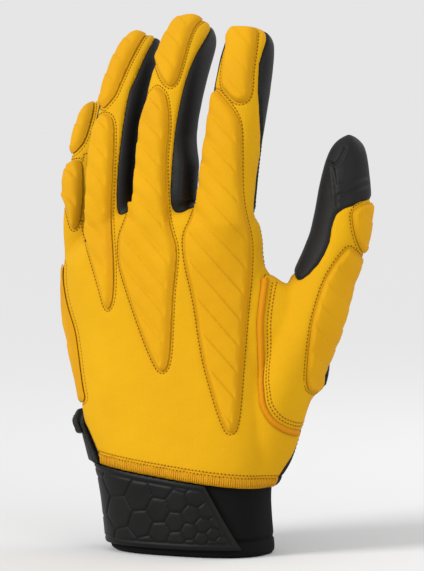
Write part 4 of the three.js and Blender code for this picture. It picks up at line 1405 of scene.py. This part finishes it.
# Name, colours deep, main and light, roughness, build, bump, relief and gloss
# The deep colour is what the hem band, the painted shade and the grain's cell borders darken towards.
LOOKS = {
    "knit": ("gold_knit", (0.42, 0.17, 0.001), (0.62, 0.325, 0.002), (0.66, 0.36, 0.003),
             0.78, knit_build(0.0009, 0.22), 0.35, 0.0002, 0.12),
    "foam": ("gold_foam", (0.42, 0.155, 0.001), (0.61, 0.3, 0.002), (0.65, 0.335, 0.003),
             0.74, knit_build(0.0007, 0.15), 0.28, 0.00015, 0.12),
    "welt": ("gold_welt", (0.42, 0.13, 0.001), (0.6, 0.235, 0.002), (0.64, 0.26, 0.003),
             0.74, knit_build(0.0007, 0.15), 0.28, 0.00015, 0.12),
    "thread": ("gold_thread", (0.36, 0.14, 0.001), (0.56, 0.26, 0.002), (0.62, 0.3, 0.003),
               0.65, grain_build(2600, 0.2), 0.4, 0.0002, 0.2),
    # Needle holes: a dark brown that paints the shade inside each hole.
    "hole": ("needle_hole_shade", (0.12, 0.045, 0.001), (0.19, 0.075, 0.002), (0.24, 0.1, 0.003),
             0.9, grain_build(2600, 0.2), 0.2, 0.0001, 0.05),
    "grip": ("black_grip", (0.002, 0.002, 0.002), (0.0055, 0.0052, 0.005), (0.0085, 0.008, 0.008),
             0.58, grain_build(1500, 0.3), 0.3, 0.0002, 0.22),
    "dark": ("black_thread", (0.002, 0.002, 0.002), (0.009, 0.009, 0.009), (0.013, 0.013, 0.013),
             0.6, grain_build(2600, 0.2), 0.4, 0.0002, 0.3),
    "neoprene": ("black_knit", (0.001, 0.001, 0.001), (0.003, 0.003, 0.003), (0.005, 0.005, 0.005),
                 0.85, knit_build(0.0006, 0.3), 0.3, 0.0001, 0.12),
    "rubber": ("black_rubber", (0.0008, 0.0008, 0.0008), (0.0028, 0.0028, 0.0026),
               (0.0055, 0.0055, 0.005), 0.5, grain_build(2200, 0.25), 0.15, 0.0001, 0.16),
}
MATERIALS = {look: surface(*row) for look, row in LOOKS.items()}


# The pieces
CURL_RISE = 2.2
CURL_FROM = 50
CURL_RUN = 7
WELT_BOTTOM = 47
WELT_TOP = 114.5
WELT_MARGIN = 0.5
# Rows of stitches: how far they lie from the pads, the thumb's seam and the hem
SEAM_ROWS = (2.5, 3.7)
SEAM_ROWS_BOTTOM = 51
SEAM_ROWS_TOP = 113
HEM_ROWS = (4.2, 5.5)
HEM_LINE = 2.2
PAD_MARGIN = 0.35
# Sizes of stitches along, across and out
HEM_SIZE = (3.9, 0.8, 0.62)
DARK_SIZE = (1.35, 0.5, 0.36)
HOLE_SIZE = (0.72, 0.72, 0.26)
THREAD_SIZE = (0.95, 0.6, 0.34)

hand_places = base_points[:, [0, 2]]
seam_far = path_distance(hand_places, smooth_path(THUMB_SEAM))


def tab_field(outline, *limits):
    """Field of a tab, whose outline is in shares of the palm's breadth and height."""
    field = outline_field(hand_places, rounded(outline * HAND_SCALE))[0]
    return np.maximum.reduce([field, CLEARANCE - fields["gold"], *limits])


def tab_pieces(material):
    heel = tab_field(HEEL_OUTLINE, fields["hem"] + CLEARANCE)
    flap("heel_tab", heel, CLEARANCE, CLEARANCE + HEEL_THICKNESS, material)
    pull = tab_field(PULL_OUTLINE, base_points[:, 1] - PULL_BACK)
    low = 2 * CLEARANCE + HEEL_THICKNESS
    curl = CURL_RISE * bump_of((base_points[:, 2] - CURL_FROM) / CURL_RUN)
    flap("pull_tab", pull, low, low + PULL_THICKNESS, material, curl)


def welt_piece(material):
    z = base_points[:, 2]
    welt = np.maximum.reduce([
        seam_far - WELT_REACH, base_points[:, 1] - WELT_BACK, knit_field + WELT_MARGIN,
        z - WELT_TOP, WELT_BOTTOM - z,
    ])
    columns = np.column_stack([base_points, base_normals, welt, seam_far])
    tris, data = subdivided(*part_of(base_tris, columns, welt < 2))
    rise = np.clip(1 - (data[:, 7] / WELT_REACH) ** 2, 0, 1)
    height = PAD_FOOT + (CLEARANCE + WELT_THICKNESS - PAD_FOOT) * rise
    # Painted shade: darker where the roll falls away towards its edges.
    columns = np.column_stack([data[:, :6], height, (rise - 1) * 0.5])
    mesh = slab("thumb_seam_welt", tris, data[:, 6], columns, PAD_LIFT)
    finish_piece("thumb_seam_roll", mesh, material, "thumb_seam_welt")


def sew_knit():
    """Rows of needle holes, dark beads of painted shade, and thread round the pads, along the thumb's seam
    and the hem.
    """
    height = panel_relief(np.maximum(knit_field, fields["hem"]), True)
    for name, field in pad_fields.items():
        others = np.minimum.reduce([f for other, f in pad_fields.items() if other != name])
        keep = np.maximum.reduce([
            knit_field + WELT_MARGIN, PAD_MARGIN - others, TIP_STITCH - fields["tips"],
        ])
        sew(contour_lines(field - STITCH_OUT, keep, height))
    z = base_points[:, 2]
    keep = np.maximum.reduce([
        np.where(fields["seam_side"] < 0, -OFF, OFF), SEAM_ROWS_BOTTOM - z,
        knit_field + WELT_MARGIN, z - SEAM_ROWS_TOP,
    ])
    for out in SEAM_ROWS:
        sew(contour_lines(seam_far - out, keep, height))
    for rise in HEM_ROWS:
        sew(contour_lines(fields["hem"] + rise, knit_field + 0.6, height))
    for points, normals in contour_lines(fields["hem"] + HEM_LINE, knit_field + 0.4, height):
        run = run_of(points)
        at = np.arange(0.4, run[-1], HEM_PITCH)
        place, ahead = along_run(at, run, points), along_run(at + 0.5, run, points)
        normal = unit(along_run(at, run, normals))
        stitch_places["hem"].append((place, unit(np.cross(normal, ahead - place + 1e-9)), normal))


def sew_palm():
    """A row of black thread along the palm's edge."""
    height = panel_relief(above_hem("palm_panel"), False)
    keep = np.maximum(fields["hem"] + 2.5, TIP_STITCH - fields["tips"])
    sew(contour_lines(fields["palm_panel"] + 1.5, keep, height), DARK_PITCH, "dark", 0.04)


for node in PANELS:
    slot, look = ("gold_knit", "knit") if node in KNIT_PANELS else ("black_grip", "grip")
    panel(node, MATERIALS[look])
for node in PAD_OUTLINES:
    pad(node, MATERIALS["foam"])
tab_pieces(MATERIALS["grip"])
welt_piece(MATERIALS["welt"])
cuff_piece(MATERIALS["neoprene"])
strap_piece(MATERIALS["rubber"])
sew_knit()
stitch_piece("hem_thread", "hem", HEM_SIZE, MATERIALS["thread"])
sew_palm()
stitch_piece("palm_thread", "dark", DARK_SIZE, MATERIALS["dark"])
# Dark beads that paint the shade in the needle holes.
stitch_piece("needle_hole_shade", "hole", HOLE_SIZE, MATERIALS["hole"])
stitch_piece("stitch_thread", "thread", THREAD_SIZE, MATERIALS["thread"])


# Stage, light and camera, in metres
FLOOR_HALF = 30
FLOOR_LEVEL = -0.0005
FLOOR_GREY = 0.67
WORLD_STRENGTH = 0.79
KEY_POWER = 2.25
KEY_ANGLE = math.radians(22)
KEY_TOWARDS = (0.62, 0.85, -0.68)
# Lamps: place, size and power
LAMPS = {"fill": ((0.9, -0.6, 0.4), 0.7, 2.6), "rim": ((0.3, 0.6, 0.6), 0.5, 1.2)}
LAMP_AIM = (0, 0, 0.11)
SENSOR = 36


def stage_floor():
    signs = ((-1, -1), (1, -1), (1, 1), (-1, 1))
    corners = [(x * FLOOR_HALF, y * FLOOR_HALF, FLOOR_LEVEL) for x, y in signs]
    mesh = mesh_of("floor", np.array(corners) / MM, [[0, 1, 2, 3]])
    obj = object_of("floor", mesh)
    material = bpy.data.materials.new("floor")
    material.use_nodes = True
    inputs = material.node_tree.nodes["Principled BSDF"].inputs
    inputs["Base Color"].default_value = (FLOOR_GREY, FLOOR_GREY, FLOOR_GREY, 1)
    inputs["Roughness"].default_value = 1.0
    inputs["Specular IOR Level"].default_value = 0.0
    mesh.materials.append(material)


stage_floor()
world = bpy.data.worlds.new("studio")
world.use_nodes = True
background = world.node_tree.nodes["Background"].inputs
background[0].default_value = (1, 1, 1, 1)
background[1].default_value = WORLD_STRENGTH
bpy.context.scene.world = world
bpy.context.scene.view_settings.view_transform = "Standard"


def light(name, kind, power, direction):
    """A light that shines in a direction."""
    data = bpy.data.lights.new(name, kind)
    data.energy = power
    obj = object_of(name, data)
    obj.rotation_euler = Vector(direction).to_track_quat("-Z", "Y").to_euler()
    return obj


light("key", "SUN", KEY_POWER, KEY_TOWARDS).data.angle = KEY_ANGLE
for name, (place, size, power) in LAMPS.items():
    lamp = light(name, "AREA", power, Vector(LAMP_AIM) - Vector(place))
    lamp.location = place
    lamp.data.shape = "DISK"
    lamp.data.size = size

camera_data = bpy.data.cameras.new("camera")
camera = object_of("camera", camera_data)
turned = np.column_stack([RIGHT, UPWARDS, TOWARDS, CAMERA * MM])
camera.matrix_world = Matrix((*turned.tolist(), (0, 0, 0, 1)))
camera_data.sensor_fit = "HORIZONTAL"
camera_data.sensor_width = SENSOR
camera_data.lens = SENSOR * VIEW_DISTANCE / VIEW_WIDTH
camera_data.clip_start = 0.05
camera_data.clip_end = 20
bpy.context.scene.camera = camera
